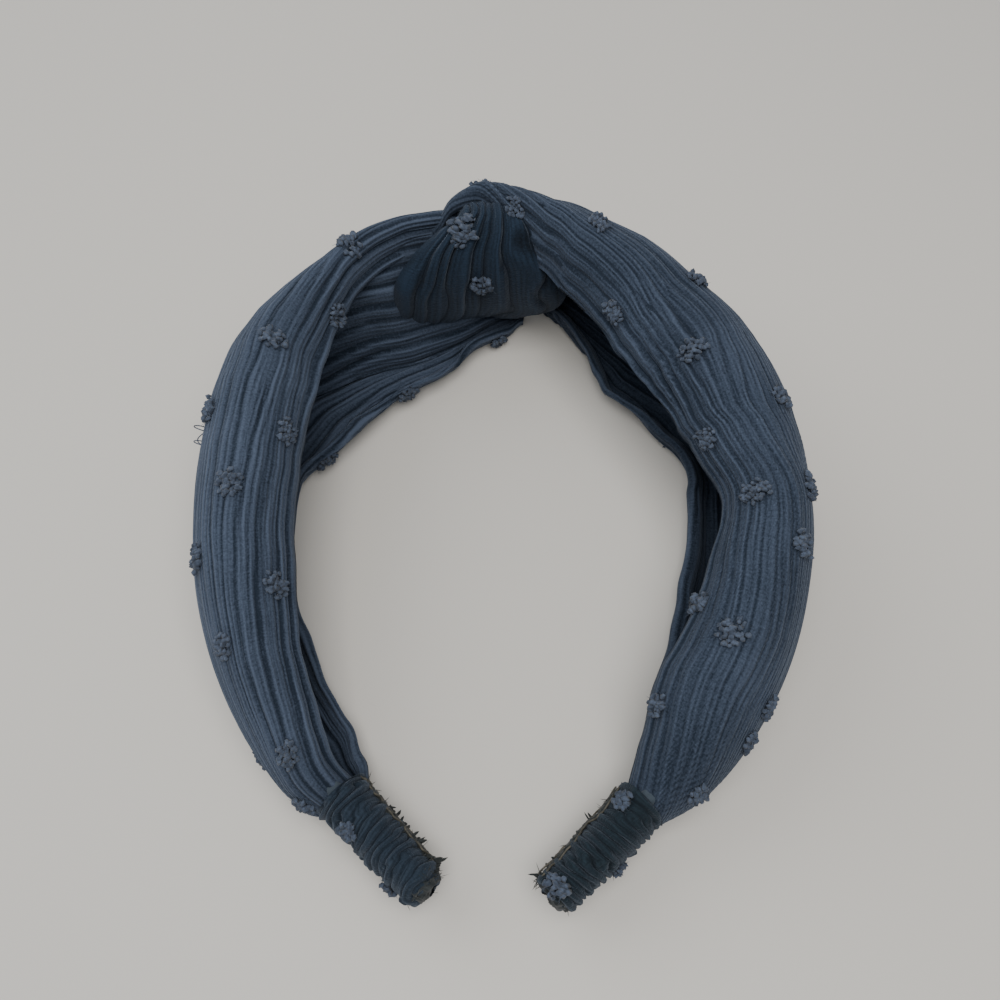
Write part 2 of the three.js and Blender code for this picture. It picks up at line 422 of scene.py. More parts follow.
def joined(name: str, parts: list[Shape]) -> bpy.types.Object:
    """One mesh object of many small parts, each given as its points and its faces.

    Args:
        name: The piece's name.
        parts: The parts' (points, faces) pairs.

    Returns:
        The object.
    """
    starts = np.cumsum([0] + [len(points) for points, _ in parts[:-1]])
    points = np.concatenate([part[0] for part in parts])
    faces = np.concatenate([part[1] + start for part, start in zip(parts, starts)])
    return make_mesh(name, points, faces)


def tube(path: np.ndarray, radius: np.ndarray, sides: int) -> Shape:
    """A thin tube along a path, with its ends drawn in to points.

    Each ring lies square to the path, on two directions made by cross products with a fixed one.

    Args:
        path: The path's points, (n, 3).
        radius: The radius at each of them.
        sides: How many sides a ring has.

    Returns:
        Points and faces.
    """
    forward = unit(np.gradient(path, axis=0))
    fixed = np.array([0.31, 0.52, 0.8])
    first = unit(np.cross(forward, fixed))
    second = np.cross(forward, first)
    turn = np.arange(sides) * TAU / sides
    shrink = np.ones(len(path))
    shrink[[0, -1]] = 0.05
    ring = first[:, None] * np.cos(turn)[:, None] + second[:, None] * np.sin(turn)[:, None]
    points = path[:, None] + ring * (radius * shrink)[:, None, None]
    return points.reshape(-1, 3), grid_faces(len(path), sides, True)


# ---------------------------------------------------------------- finishes


Socket = bpy.types.NodeSocket


class Nodes:
    """A short way to lay out the nodes of one material."""

    def __init__(self, name: str) -> None:
        """Makes the material, with its shader and texture places ready."""
        self.material = bpy.data.materials.new(name)
        self.material.use_nodes = True
        self.tree = self.material.node_tree
        self.tree.nodes.clear()
        self.output = self.tree.nodes.new("ShaderNodeOutputMaterial")
        self.shader = self.tree.nodes.new("ShaderNodeBsdfPrincipled")
        self.link(self.shader.outputs[0], self.output.inputs["Surface"])
        self.places = self.tree.nodes.new("ShaderNodeTexCoord")

    def link(self, source: Socket, target: Socket) -> None:
        """Joins one socket to another."""
        self.tree.links.new(source, target)

    def add(self, kind: str, **inputs: object) -> bpy.types.Node:
        """A new node with some of its inputs set or linked.

        Args:
            kind: The node's type, without its ShaderNode prefix.
            **inputs: Input names, with _ for a space, and what each takes.

        Returns:
            The node.
        """
        node = self.tree.nodes.new("ShaderNode" + kind)
        for key, value in inputs.items():
            self.feed(node.inputs[key.replace("_", " ")], value)
        return node

    def feed(self, socket: Socket, value: object) -> None:
        """Links a socket to another one, or sets it to a plain value."""
        if isinstance(value, bpy.types.NodeSocket):
            self.link(value, socket)
        else:
            socket.default_value = value

    def math(self, operation: str, *values: object) -> Socket:
        """The result of a maths node on sockets or numbers."""
        node = self.tree.nodes.new("ShaderNodeMath")
        node.operation = operation
        for socket, value in zip(node.inputs, values):
            self.feed(socket, value)
        return node.outputs[0]

    def about(self, source: Socket, share: float) -> Socket:
        """A value from 0 to 1 as a shift either way, by a share of what it lies from a half."""
        return self.math("MULTIPLY", self.math("SUBTRACT", source, 0.5), share)

    def scaled(self, source: Socket, scale: tuple[float, float, float]) -> Socket:
        """Texture places stretched by a factor along each axis."""
        return self.add("Mapping", Vector=source, Scale=scale).outputs[0]

    def noise(self, places: Socket, scale: float, detail: float = 3.0) -> Socket:
        """Noise from 0 to 1 at texture places."""
        return self.add("TexNoise", Vector=places, Scale=scale, Detail=detail).outputs["Fac"]

    def mix(self, share: Socket, first: Colour, second: Colour) -> Socket:
        """A colour between two colours."""
        node = self.tree.nodes.new("ShaderNodeMix")
        node.data_type = "RGBA"
        self.link(share, node.inputs[0])
        node.inputs[6].default_value = (*first, 1.0)
        node.inputs[7].default_value = (*second, 1.0)
        return node.outputs[2]

    def spread(self, source: Socket, low: float, high: float) -> Socket:
        """A value stretched so that low becomes 0 and high becomes 1, and held there."""
        return self.add("MapRange", Value=source, From_Min=low, From_Max=high).outputs[0]

    def bumps(self, height: Socket, depth: float, before: Socket | None = None) -> Socket:
        """A normal roughened by a height from 0 to 1 of a depth in metres, on top of another."""
        node = self.add("Bump", Height=height, Distance=depth)
        if before is not None:
            self.link(before, node.inputs["Normal"])
        return node.outputs[0]

    def settle(self, **inputs: object) -> bpy.types.Material:
        """Sets or links inputs of the shader, and hands over the finished material."""
        for key, value in inputs.items():
            self.feed(self.shader.inputs[key.replace("_", " ")], value)
        return self.material

    def attribute(self, name: str) -> Socket:
        """A piece's own named number."""
        node = self.tree.nodes.new("ShaderNodeAttribute")
        node.attribute_name = name
        return node.outputs["Fac"]


@dataclass(frozen=True)
class Chiffon:
    """Crinkled polyester chiffon: matt, with a crepe grain and fine pressed pleats."""

    name: str
    ridge: Colour
    hollow: Colour
    pleats_per_metre: float = 900.0
    pleat_depth: float = 0.00014
    crepe_depth: float = 0.00012

    def make(self) -> bpy.types.Material:
        """The material: colour by fold tone, cloudy wear, fine pleats and crepe as bumps.

        The fold tone is painted shade in the creases and a painted highlight along the ridges,
        partly for the darker layered cloth; the fine pleats paint light and shade stripes too.
        """
        n = Nodes(self.name)
        cloth = n.places.outputs["UV"]
        solid = n.places.outputs["Object"]
        # The fold tone: painted shade in the creases, painted highlight on the ridges.
        height = n.attribute("ridge")
        cloud = n.noise(solid, 70.0, 4.0)
        grain = n.noise(solid, 2600.0, 2.0)
        wander = n.noise(n.scaled(cloth, (120.0, 30.0, 1.0)), 1.0, 2.0)
        split = n.add("SeparateXYZ", Vector=cloth)
        across = n.math("MULTIPLY", split.outputs[0], self.pleats_per_metre * TAU)
        phase = n.math("ADD", across, n.math("MULTIPLY", wander, 9.0))
        pleat = n.math("MULTIPLY_ADD", n.math("SINE", phase), 0.5, 0.5)
        ends = n.math("POWER", n.noise(n.scaled(cloth, (900.0, 40.0, 1.0)), 1.0, 3.0), 1.5)
        crinkle = n.noise(n.scaled(cloth, (600.0, 2400.0, 1.0)), 1.0, 2.0)
        # The fine pleats' sine adds painted light and shade stripes to the colour.
        shade = n.math("MULTIPLY_ADD", height, 1.1, n.about(pleat, 0.16))
        for source, share in ((cloud, 0.6), (grain, 1.0), (crinkle, 0.5)):
            shade = n.math("ADD", shade, n.about(source, share))
        normal = n.bumps(pleat, self.pleat_depth)
        normal = n.bumps(ends, self.pleat_depth * 1.2, normal)
        normal = n.bumps(crinkle, self.crepe_depth * 1.4, normal)
        normal = n.bumps(grain, self.crepe_depth, normal)
        return n.settle(
            Base_Color=n.mix(n.spread(shade, 0.0, 1.0), self.hollow, self.ridge),
            Roughness=0.88,
            Specular_IOR_Level=0.25,
            Sheen_Weight=0.16,
            Sheen_Roughness=0.45,
            Sheen_Tint=(0.55, 0.66, 0.85, 1.0),
            Normal=normal,
        )


@dataclass(frozen=True)
class WovenCloth:
    """Plain smooth woven cloth, such as the lining: fine threads each way and soft wear."""

    name: str
    light: Colour
    dark: Colour
    threads_per_metre: float = 3200.0
    depth: float = 0.00005

    def make(self) -> bpy.types.Material:
        """The material: a fine two-way weave, and cloudy wear between two colours."""
        n = Nodes(self.name)
        solid = n.places.outputs["Object"]
        split = n.add("SeparateXYZ", Vector=solid)
        turns = self.threads_per_metre * TAU
        warp = n.math("SINE", n.math("MULTIPLY", split.outputs[2], turns))
        weft_place = n.math("ADD", split.outputs[0], split.outputs[1])
        weft = n.math("SINE", n.math("MULTIPLY", weft_place, turns))
        weave = n.math("MULTIPLY_ADD", n.math("MULTIPLY", warp, weft), 0.5, 0.5)
        wear = n.noise(solid, 160.0, 5.0)
        colour = n.mix(n.spread(wear, 0.3, 0.7), self.dark, self.light)
        normal = n.bumps(weave, self.depth)
        return n.settle(Base_Color=colour, Roughness=0.8, Sheen_Weight=0.15, Normal=normal)


@dataclass(frozen=True)
class Fluff:
    """Chenille and frayed fibre: very matt, fuzzy and mottled."""

    name: str
    light: Colour
    dark: Colour
    scale: float = 900.0
    depth: float = 0.0003

    def make(self) -> bpy.types.Material:
        """The material: a fuzzy bump and a mottle between two colours."""
        n = Nodes(self.name)
        solid = n.places.outputs["Object"]
        fuzz = n.noise(solid, self.scale, 4.0)
        return n.settle(
            Base_Color=n.mix(n.spread(fuzz, 0.3, 0.72), self.dark, self.light),
            Roughness=0.95,
            Sheen_Weight=0.12,
            Sheen_Roughness=0.5,
            Normal=n.bumps(fuzz, self.depth),
        )


@dataclass(frozen=True)
class Moulded:
    """Moulded plastic or set glue: a faint grain and uneven gloss."""

    name: str
    light: Colour
    dark: Colour
    roughness: float
    scale: float = 400.0
    depth: float = 0.00004

    def make(self) -> bpy.types.Material:
        """The material: mottled colour, with gloss and grain from the same noise."""
        n = Nodes(self.name)
        solid = n.places.outputs["Object"]
        mottle = n.noise(solid, self.scale, 4.0)
        colour = n.mix(n.spread(mottle, 0.3, 0.7), self.dark, self.light)
        uneven = n.math("MULTIPLY_ADD", mottle, 0.2, self.roughness - 0.1)
        return n.settle(Base_Color=colour, Roughness=uneven, Normal=n.bumps(mottle, self.depth))


@dataclass(frozen=True)
class Wardrobe:
    """Every finish of the headband, made once."""

    chiffon: bpy.types.Material
    knot: bpy.types.Material
    binding: bpy.types.Material
    dark_binding: bpy.types.Material
    lining: bpy.types.Material
    tuft: bpy.types.Material
    fray: bpy.types.Material
    worn: bpy.types.Material
    plastic: bpy.types.Material
    glue: bpy.types.Material

    @classmethod
    def make(cls) -> "Wardrobe":
        """Makes the finishes."""
        finishes = (
            # The hollow colour is the painted shade of the creases, mixed in by the fold tone.
            Chiffon("chiffon", (0.070, 0.093, 0.140), (0.010, 0.017, 0.030)),
            # Darker than the drapes: partly denser cloth, partly painted shade over the knot.
            Chiffon("knot_chiffon", (0.016, 0.030, 0.054), (0.002, 0.005, 0.010), 520.0),
            Chiffon("wound_chiffon", (0.025, 0.039, 0.059), (0.006, 0.012, 0.020)),
            # Darker than the left binding: painted shade on the right side, lit from the left.
            Chiffon("wound_dark", (0.014, 0.026, 0.036), (0.004, 0.008, 0.012)),
            WovenCloth("lining", (0.046, 0.066, 0.088), (0.030, 0.045, 0.062)),
            Fluff("tuft_chenille", (0.086, 0.113, 0.168), (0.024, 0.034, 0.054)),
            Fluff("frayed_thread", (0.030, 0.035, 0.034), (0.006, 0.009, 0.010)),
            Fluff("worn_cloth", (0.045, 0.052, 0.054), (0.006, 0.010, 0.012), 700.0),
            Moulded("band_plastic", (0.022, 0.024, 0.028), (0.014, 0.015, 0.018), 0.45),
            Moulded("set_glue", (0.120, 0.108, 0.080), (0.024, 0.024, 0.020), 0.6, 900.0, 0.0002),
        )
        return cls(*(finish.make() for finish in finishes))


class Part(ABC):
    """A sub-assembly of the headband, whose mesh is worked out first and then dressed."""

    piece: bpy.types.Object

    @abstractmethod
    def build(self) -> None:
        """Works out the part's surfaces and makes its mesh."""

    @abstractmethod
    def finish(self, wardrobe: Wardrobe) -> None:
        """Dresses the part and fixes it to its body."""

    def make(self, wardrobe: Wardrobe) -> None:
        """Builds and finishes the part, and reports its piece."""
        self.build()
        self.finish(wardrobe)
        log.info("%s: %d faces", self.piece.name, len(self.piece.data.polygons))


def dress(piece: bpy.types.Object, finish: bpy.types.Material) -> None:
    """Gives a piece its one material."""
    piece.data.materials.clear()
    piece.data.materials.append(finish)


# ---------------------------------------------------------------- drapes


@dataclass(frozen=True)
class Gutter:
    """How a drape's section changes along its arm, as (angle from the crown, value) pairs.

    Heights and reaches are in millimetres; angles of the lips' curl are in degrees.
    """

    out: Knots
    top: Knots
    bottom: Knots
    top_reach: Knots
    bottom_reach: Knots
    wall: Knots
    puff: Knots
    belly: Knots
    curl: float = 150.0


@dataclass(frozen=True)
class Pleats:
    """The folds of a drape: broad knife folds, and fine pleats over them, in millimetres.

    The gathered run is by how much the back's folds slide away from the top lip at an angle. The
    lean is where a ridge lies in its fold. Beside the lip is the share of a fold's place that
    keeps to the top lip, and the outer share is how high folds far from the lip stand. The tone
    sets the cloth's base, from 0 for the hollow colour to 1 for the ridge colour; the right
    drape's lower tone is painted shade, for light that falls from the left.
    """

    broad_pitch: float
    broad_height: Knots
    gathered: Knots
    fine_pitch: float
    fine_height: float
    lean: float
    beside_lip: float
    outer_share: float
    tone: float
    seed: int


@dataclass
class Drape(Part):
    """A chiffon tube pressed flat and bent to a gutter over one arm, as one closed section.

    The section runs up the back from the bottom lip to the top lip, turns round the top lip,
    comes down the inner layer and turns round the bottom lip.
    """

    band: BandLine
    side: Side
    gutter: Gutter
    pleats: Pleats
    start: float
    end: float = 151.5
    rows: int = 196
    back_columns: int = 300
    lip_columns: int = 8
    inner_columns: int = 190
    piece: bpy.types.Object = field(init=False)
    points: np.ndarray = field(init=False)
    normals: np.ndarray = field(init=False)
    flat: tuple[float, float] = field(init=False)

    def section_columns(self) -> tuple[np.ndarray, np.ndarray, np.ndarray]:
        """Where each column lies: its turn about the section, and its place in the wall.

        Returns:
            Turns in radians from the back's middle, and each column's share of the half wall
            thickness along the wall's normal and along its run.
        """
        curl = math.radians(self.gutter.curl)
        back = np.linspace(-curl, curl, self.back_columns)
        inner = np.linspace(curl, -curl, self.inner_columns + 2)[1:-1]
        round_lip = np.linspace(0, np.pi, self.lip_columns + 2)[1:-1]
        lip = np.full(self.lip_columns, curl)
        turn = np.concatenate([back, lip, inner, -lip])
        cos, sin = np.cos(round_lip), np.sin(round_lip)
        normal_share = np.concatenate([np.ones(len(back)), cos, -np.ones(len(inner)), -cos])
        run_share = np.concatenate([np.zeros(len(back)), sin, np.zeros(len(inner)), -sin])
        return turn, normal_share, run_share

    def middle_curve(self, angle: np.ndarray, turn: np.ndarray) -> tuple[np.ndarray, np.ndarray]:
        """The wall's middle line in every section, as out and up.

        Above the back's middle it is an ellipse, reach (1 - cos turn) in from the back and half
        height times sin turn up. Below, the sine's power 0.75 makes it squarer and pressed flat.

        Args:
            angle: Each row's angle from the crown, (rows, 1).
            turn: Each column's turn, (columns,).

        Returns:
            Out and up, each (rows, columns).
        """
        g = self.gutter
        seed = self.pleats.seed
        full_turn = 1 - math.cos(math.radians(g.curl))
        wall = through(g.wall, angle) * MM
        top = through(g.top, angle) * MM + 0.5 * MM * smooth_noise(angle / 9.0, 0.5, seed + 1)
        bottom = through(g.bottom, angle) * MM
        wave = smooth_noise(angle / 11.0, 1.5, seed + 2)
        wave = wave + 0.5 * smooth_noise(angle / 4.5, 2.5, seed + 3)
        top_reach = through(g.top_reach, angle) * MM + 0.8 * MM * wave
        bottom_reach = through(g.bottom_reach, angle) * MM + 0.7 * MM * np.roll(wave, 25)
        reach = np.where(turn > 0, top_reach, bottom_reach) / full_turn
        half_height = (top - bottom - wall) / 2
        sunk = np.minimum(1, 1.15 * np.abs(np.sin(turn)) ** 0.75)
        swing = np.where(turn > 0, np.sin(turn), -sunk)
        middle_up = (top + bottom) / 2
        out = through(g.out, angle) * MM - wall / 2
        out = out + 0.4 * MM * smooth_noise(angle / 14.0, 3.5, seed + 4)
        out = out - (reach - wall / 2) * (1 - np.cos(turn))
        belly = through(g.belly, angle) * MM
        out = out + belly * bump(turn, -1.05, 0.45)
        return out, middle_up + half_height * swing

    def fold_heights(self, angle: np.ndarray, flat: np.ndarray) -> tuple[np.ndarray, ...]:
        """Fold heights over the smooth tube, painted fold shade tones and the folds' places.

        Folds are counted by a distance round the section, from the top lip down the back and
        from the bottom lip up the inner layer. On the back, part of it is the row's own
        distance, which keeps folds beside the lip, and part the middle row's, which spreads them
        as the tube widens. The inner layer takes the middle row's, in broader folds.

        Args:
            angle: Each row's angle, (rows, 1).
            flat: The section's points as out and up, (rows, columns, 2).

        Returns:
            Heights in metres, tones from 0 to 1 and places in metres, (rows, columns).
        """
        p = self.pleats
        steps = np.linalg.norm(np.diff(flat, axis=1), axis=-1) / MM
        place = np.concatenate([np.zeros_like(angle), np.cumsum(steps, axis=1)], 1)
        back = self.back_columns
        from_top = place[:, back - 1 : back] - place
        length = place[:, -1:] - place[:, back - 1 : back]
        from_bottom = length - (place - place[:, back - 1 : back])
        on_back = np.arange(place.shape[1]) < back
        own = np.where(on_back, from_top, INNER_SHARE * from_bottom + INNER_START)
        kept = np.where(on_back, p.beside_lip, 0.0)
        millimetres = kept * own + (1 - kept) * own[self.rows // 2]
        gathered = through(p.gathered, angle) * (1 - np.exp(-np.abs(from_top) / 10))
        millimetres = millimetres + np.where(on_back, gathered, 0)
        wander = 0.6 * smooth_noise(millimetres / 8.0, angle / 30.0, p.seed)
        wander = wander + 0.13 * smooth_noise(millimetres / 4.5, angle / 14.0, p.seed + 5)
        lip = np.minimum(np.abs(from_top), place)
        wander = wander * ramp(lip, 0.0, 9.0)
        phase = millimetres / p.broad_pitch + wander
        broad, broad_tone = fold_row(phase, angle / 24.0, p.lean, p.seed + 6)
        drift = 0.3 * smooth_noise(millimetres / 4.0, angle / 16.0, p.seed + 7)
        phase = millimetres / p.fine_pitch + 2 * wander + drift
        fine, fine_tone = fold_row(phase, angle / 15.0, 0.6, p.seed + 8)
        patch = 0.8 + 0.5 * smooth_noise(millimetres / 14.0, angle / 22.0, p.seed + 9)
        fade = np.where(on_back, 0.15 + 0.85 * ramp(lip, 0.0, 1.8), ramp(lip, 1.0, 5.0))
        near = p.outer_share + (1 - p.outer_share) * bump(np.maximum(from_top, 0), 0, 17)
        near = np.where(on_back, near, 1.15)
        height = through(p.broad_height, angle) * broad * np.clip(patch, 0.3, 1.2) * near
        height = (height + p.fine_height * fine * np.where(on_back, 1, 0.6)) * fade * MM
        depth = np.clip(through(p.broad_height, angle) / 1.6, 0.3, 1)
        # The tone paints shade in the creases and a highlight on the ridges, over the drape's base.
        tone = p.tone + depth * (0.3 + 0.7 * near) * (broad_tone - 0.5) + 0.45 * (fine_tone - 0.5)
        return height, tone, millimetres * MM

    def build(self) -> None:
        """Works out the tube's points and makes the mesh."""
        g = self.gutter
        rows = np.linspace(self.start, self.end, self.rows)
        angle = rows[:, None]
        turn, normal_share, run_share = self.section_columns()
        out, up = self.middle_curve(angle, turn)
        step = 1e-3
        ahead_out, ahead_up = self.middle_curve(angle, turn + step)
        run = unit(np.stack([ahead_out - out, ahead_up - up], -1))
        still = np.abs(ahead_out - out) + np.abs(ahead_up - up) < 1e-12
        run[..., 0] = np.where(still, 1, run[..., 0])
        normal = np.stack([run[..., 1], -run[..., 0]], -1)
        half_wall = through(g.wall, angle) * MM / 2
        facing = normal * normal_share[:, None] + run * run_share[:, None]
        flat = np.stack([out, up], -1) + facing * half_wall[..., None]
        inside = normal_share < -0.5
        puff = through(g.puff, angle) * MM * np.where(inside, bump(turn, -0.45, 1.15), 0)
        flat[..., 0] -= puff
        folds, tone, fold_places = self.fold_heights(angle, flat)
        signed = self.side.value * angle
        smooth = self.band.place(signed, flat[..., 0], flat[..., 1])
        back = np.abs(turn) < 0.5
        _, outward, _ = self.band.at(signed)
        normals = grid_normals(smooth, True)
        outer = (normals * outward)[:, back & (normal_share > 0)]
        sign = float(np.sign(outer.sum(-1).mean()))
        normals = sign * normals
        share = np.where(inside & (turn > 0.3), 0.6, 1.0)
        crowd = np.clip((through(g.top, angle) - through(g.bottom, angle)) / 30.0, 0.35, 1)
        lift = folds * share * crowd
        points = smooth + normals * (lift - 0.5 * folds.max(1, keepdims=True) * crowd)[..., None]
        points[..., 2] = np.maximum(points[..., 2], 0.15 * MM)
        line = self.band.at(signed[:, 0])[0]
        along = np.concatenate([[0], np.cumsum(np.linalg.norm(np.diff(line, axis=0), axis=1))])
        self.points = points
        self.normals = sign * grid_normals(points, True)
        self.flat = (grid_area(points, True) / 2 / along[-1], along[-1])
        self.piece = grid_piece(
            f"{self.side.word}_chiffon_drape",
            points,
            True,
            np.concatenate([fold_places, fold_places[:, -1:] + 0.5 * MM], 1),
            along,
            {"ridge": np.clip(tone, 0, 1)},
            flip=sign < 0,
        )

    def finish(self, wardrobe: Wardrobe) -> None:
        """Dresses the drape, hides its CAD pieces and bakes its place into its mesh."""
        word = self.side.word
        dress(self.piece, wardrobe.chiffon)
        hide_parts(f"{word}_drape", f"{word}_drape_shoulder")
        bend_to_arm(self.piece, self.band, self.side)


def bend_to_arm(piece: bpy.types.Object, band: BandLine, side: Side) -> None:
    """Bakes a piece's place into its mesh; the blend angles' places are worked out and not used."""
    places, _, _ = band.at(side.value * np.array([BLEND_FROM, BLEND_TO]))
    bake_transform(piece)


# ---------------------------------------------------------------- knot


@dataclass
class Knot(Part):
    """The knot: pleats fan from the top of the crown, down the head side and under.

    Its oval's middle and half sizes are in millimetres.
    """

    band: BandLine
    middle_out: float = -3.5
    middle_up: float = 26.0
    half_depth: float = 9.0
    half_height: float = 20.2
    fold_height: float = 2.3
    rows: int = 200
    columns: int = 360
    loop_length: float = 0.14
    piece: bpy.types.Object = field(init=False)
    points: np.ndarray = field(init=False)
    normals: np.ndarray = field(init=False)

    def build(self) -> None:
        """Works out the loop round the crown and makes the mesh.

        The section is an oval turned by a, from the back at 0, over the top at 90 degrees and
        down the head side at 180. Its sides run between two angles along the band that depend
        on the turn, so that the pleats fan. The sides are rolled in towards the band.
        """
        turn = np.linspace(0, 360, self.columns, endpoint=False)[None]
        share = np.linspace(0, 1, self.rows)[:, None]
        left, right = through(KNOT_LEFT, turn), through(KNOT_RIGHT, turn)
        angle = left + (right - left) * share
        radians = np.radians(turn)
        depth = self.half_depth + 1.5 * bump(turn, 165, 45)
        out = self.middle_out + depth * np.cos(radians)
        rise = np.sign(np.sin(radians)) * np.abs(np.sin(radians)) ** 0.9
        up = self.middle_up + self.half_height * rise
        edge = np.sqrt(np.clip(1 - np.abs(2 * share - 1) ** 3.4, 0, 1))
        out = -1.0 + (out + 1.0) * (0.5 + 0.5 * edge)
        up = self.middle_up + (up - self.middle_up) * (0.84 + 0.16 * edge)
        smooth = self.band.place(angle, out * MM, up * MM)
        turning = np.stack([np.cos(radians), np.sin(radians)])
        wander = 0.5 * smooth_noise(share * 4, turning[0] * 1.5, 31)
        wander = wander + 0.35 * smooth_noise(share * 7, turning[1] * 2.5 + 9, 32)
        phase = through(KNOT_FOLDS, share) + wander
        broad, broad_tone = fold_row(phase, turning[1] * 1.2 + 5, 0.7, 33)
        fine, fine_tone = fold_row(share * 30 + 2.5 * wander, turning[1] * 3 + 5, 0.5, 34)
        gathered = (0.35 + 0.65 * ramp(turn, 84, 125)) * (1 - 0.7 * bump(turn, 222, 30))
        folds = (self.fold_height * broad * gathered + 0.14 * fine) * MM
        # The tone paints shade in the creases and a highlight on the ridges.
        tone = 0.5 + 0.65 * (broad_tone - 0.5) + 0.35 * (fine_tone - 0.5)
        normals = grid_normals(smooth, True)
        centre = self.band.place(angle, -1.0 * MM, 27.5 * MM)
        facing = facing_out(smooth, centre)
        points = smooth + normals * facing * (folds - 0.9 * MM)[..., None]
        points[..., 2] = np.maximum(points[..., 2], 2.0 * MM)
        self.points = points
        self.normals = facing * grid_normals(points, True)
        self.piece = grid_piece(
            "knot_wrap_chiffon",
            points,
            True,
            *even_places(points, 0.13, 0.04),
            {"ridge": np.clip(tone, 0, 1)},
            flip=facing < 0,
            crossed=True,
        )

    def finish(self, wardrobe: Wardrobe) -> None:
        """Dresses the knot and fixes it to the crown."""
        dress(self.piece, wardrobe.knot)
        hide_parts("knot_wrap")
        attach(self.piece, "crown")


# ---------------------------------------------------------------- bindings


@dataclass
class Binding(Part):
    """A strip of chiffon wound round a tip in overlapping turns.

    Its half sizes at the drape, and what they lose on the way to the tip, are in millimetres.
    """

    band: BandLine
    side: Side
    turns: float
    shift: float
    seed: int
    start: float = 148.8
    end: float = 171.4
    half_depth: float = 4.9
    depth_loss: float = 1.0
    half_height: float = 9.3
    height_loss: float = 2.6
    ridge_height: float = 1.3
    rows: int = 300
    columns: int = 120
    piece: bpy.types.Object = field(init=False)
    points: np.ndarray = field(init=False)
    normals: np.ndarray = field(init=False)

    def angle(self, share: np.ndarray) -> np.ndarray:
        """Angles from the crown at a share of the binding's length."""
        return self.start + (self.end - self.start) * share

    def middle(self, share: np.ndarray) -> np.ndarray:
        """Points of the band's line at a share of the binding's length."""
        return self.band.at(self.side.value * self.angle(share))[0]

    def size(self, share: np.ndarray) -> tuple[np.ndarray, np.ndarray]:
        """Half sizes between the ridges, out and up, from 0 at the drape to 1 at the tip."""
        closing = np.sqrt(np.clip(1 - ramp(share, 0.90, 1.03) ** 2, 0.02, 1))
        depth = (self.half_depth - self.depth_loss * share) * closing
        height = (self.half_height - self.height_loss * share) * closing
        return depth * MM, height * MM

    def surface(self, share: np.ndarray, turn: np.ndarray) -> np.ndarray:
        """Points of the binding between its ridges: an oval whose turns lie aslant.

        Args:
            share: Places along it, from 0 at the drape to 1 at the tip.
            turn: Turns about it in radians.

        Returns:
            The points.
        """
        depth, height = self.size(share)
        slant = 1.1 * np.sin(turn - 0.6) * self.side.value
        angle = self.angle(share) + slant * ramp(share, 0, 0.1) * ramp(share, 1, 0.9)
        signed = self.side.value * angle
        out = np.cos(turn) * depth + self.shift * MM * ramp(share, 0.0, 0.2)
        return self.band.place(signed, out, self.band.at(signed)[0][..., 2] + np.sin(turn) * height)

    def build(self) -> None:
        """Winds the strip: each turn overlaps the last, so its height is a leaning fold."""
        share = np.linspace(0, 1, self.rows)[:, None]
        turn = np.linspace(0, TAU, self.columns, endpoint=False)[None]
        smooth = self.surface(share, turn)
        circle = np.stack([np.cos(turn), np.sin(turn)])
        wander = 0.55 * smooth_noise(share * 9 + circle[0], circle[1] + 2, self.seed)
        small = smooth_noise(share * 24 + 2 * circle[0], 2 * circle[1] + 5, self.seed + 1)
        wander = wander + 0.2 * small
        phase = share * self.turns + turn / TAU + wander
        ridges, ridge_tone = fold_row(phase, circle[1] + 5 + 4 * share, 0.4, self.seed + 2)
        fine, fine_tone = fold_row(2.6 * phase + 1.5 * wander, circle[0] + 5, 0.5, self.seed + 3)
        folds = (self.ridge_height * ridges + 0.2 * fine) * MM
        # The tone paints shade in the creases and a highlight on the ridges.
        tone = 0.5 + 0.6 * (ridge_tone - 0.5) + 0.4 * (fine_tone - 0.5)
        normals = grid_normals(smooth, True)
        facing = facing_out(smooth, self.middle(share))
        points = smooth + normals * facing * folds[..., None]
        self.points = points
        self.normals = facing * normals
        self.piece = grid_piece(
            f"{self.side.word}_wound_binding",
            points,
            True,
            *even_places(points, 0.05, 0.03),
            {"ridge": np.clip(tone, 0, 1)},
            flip=facing < 0,
            crossed=True,
        )

    def finish(self, wardrobe: Wardrobe) -> None:
        """Dresses the binding and fixes it to its arm."""
        word = self.side.word
        # The right binding takes the darker colour, as painted shade on the right side.
        finish = wardrobe.binding if self.side is Side.LEFT else wardrobe.dark_binding
        dress(self.piece, finish)
        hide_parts(f"{word}_binding")
        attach(self.piece, f"{word}_arm")


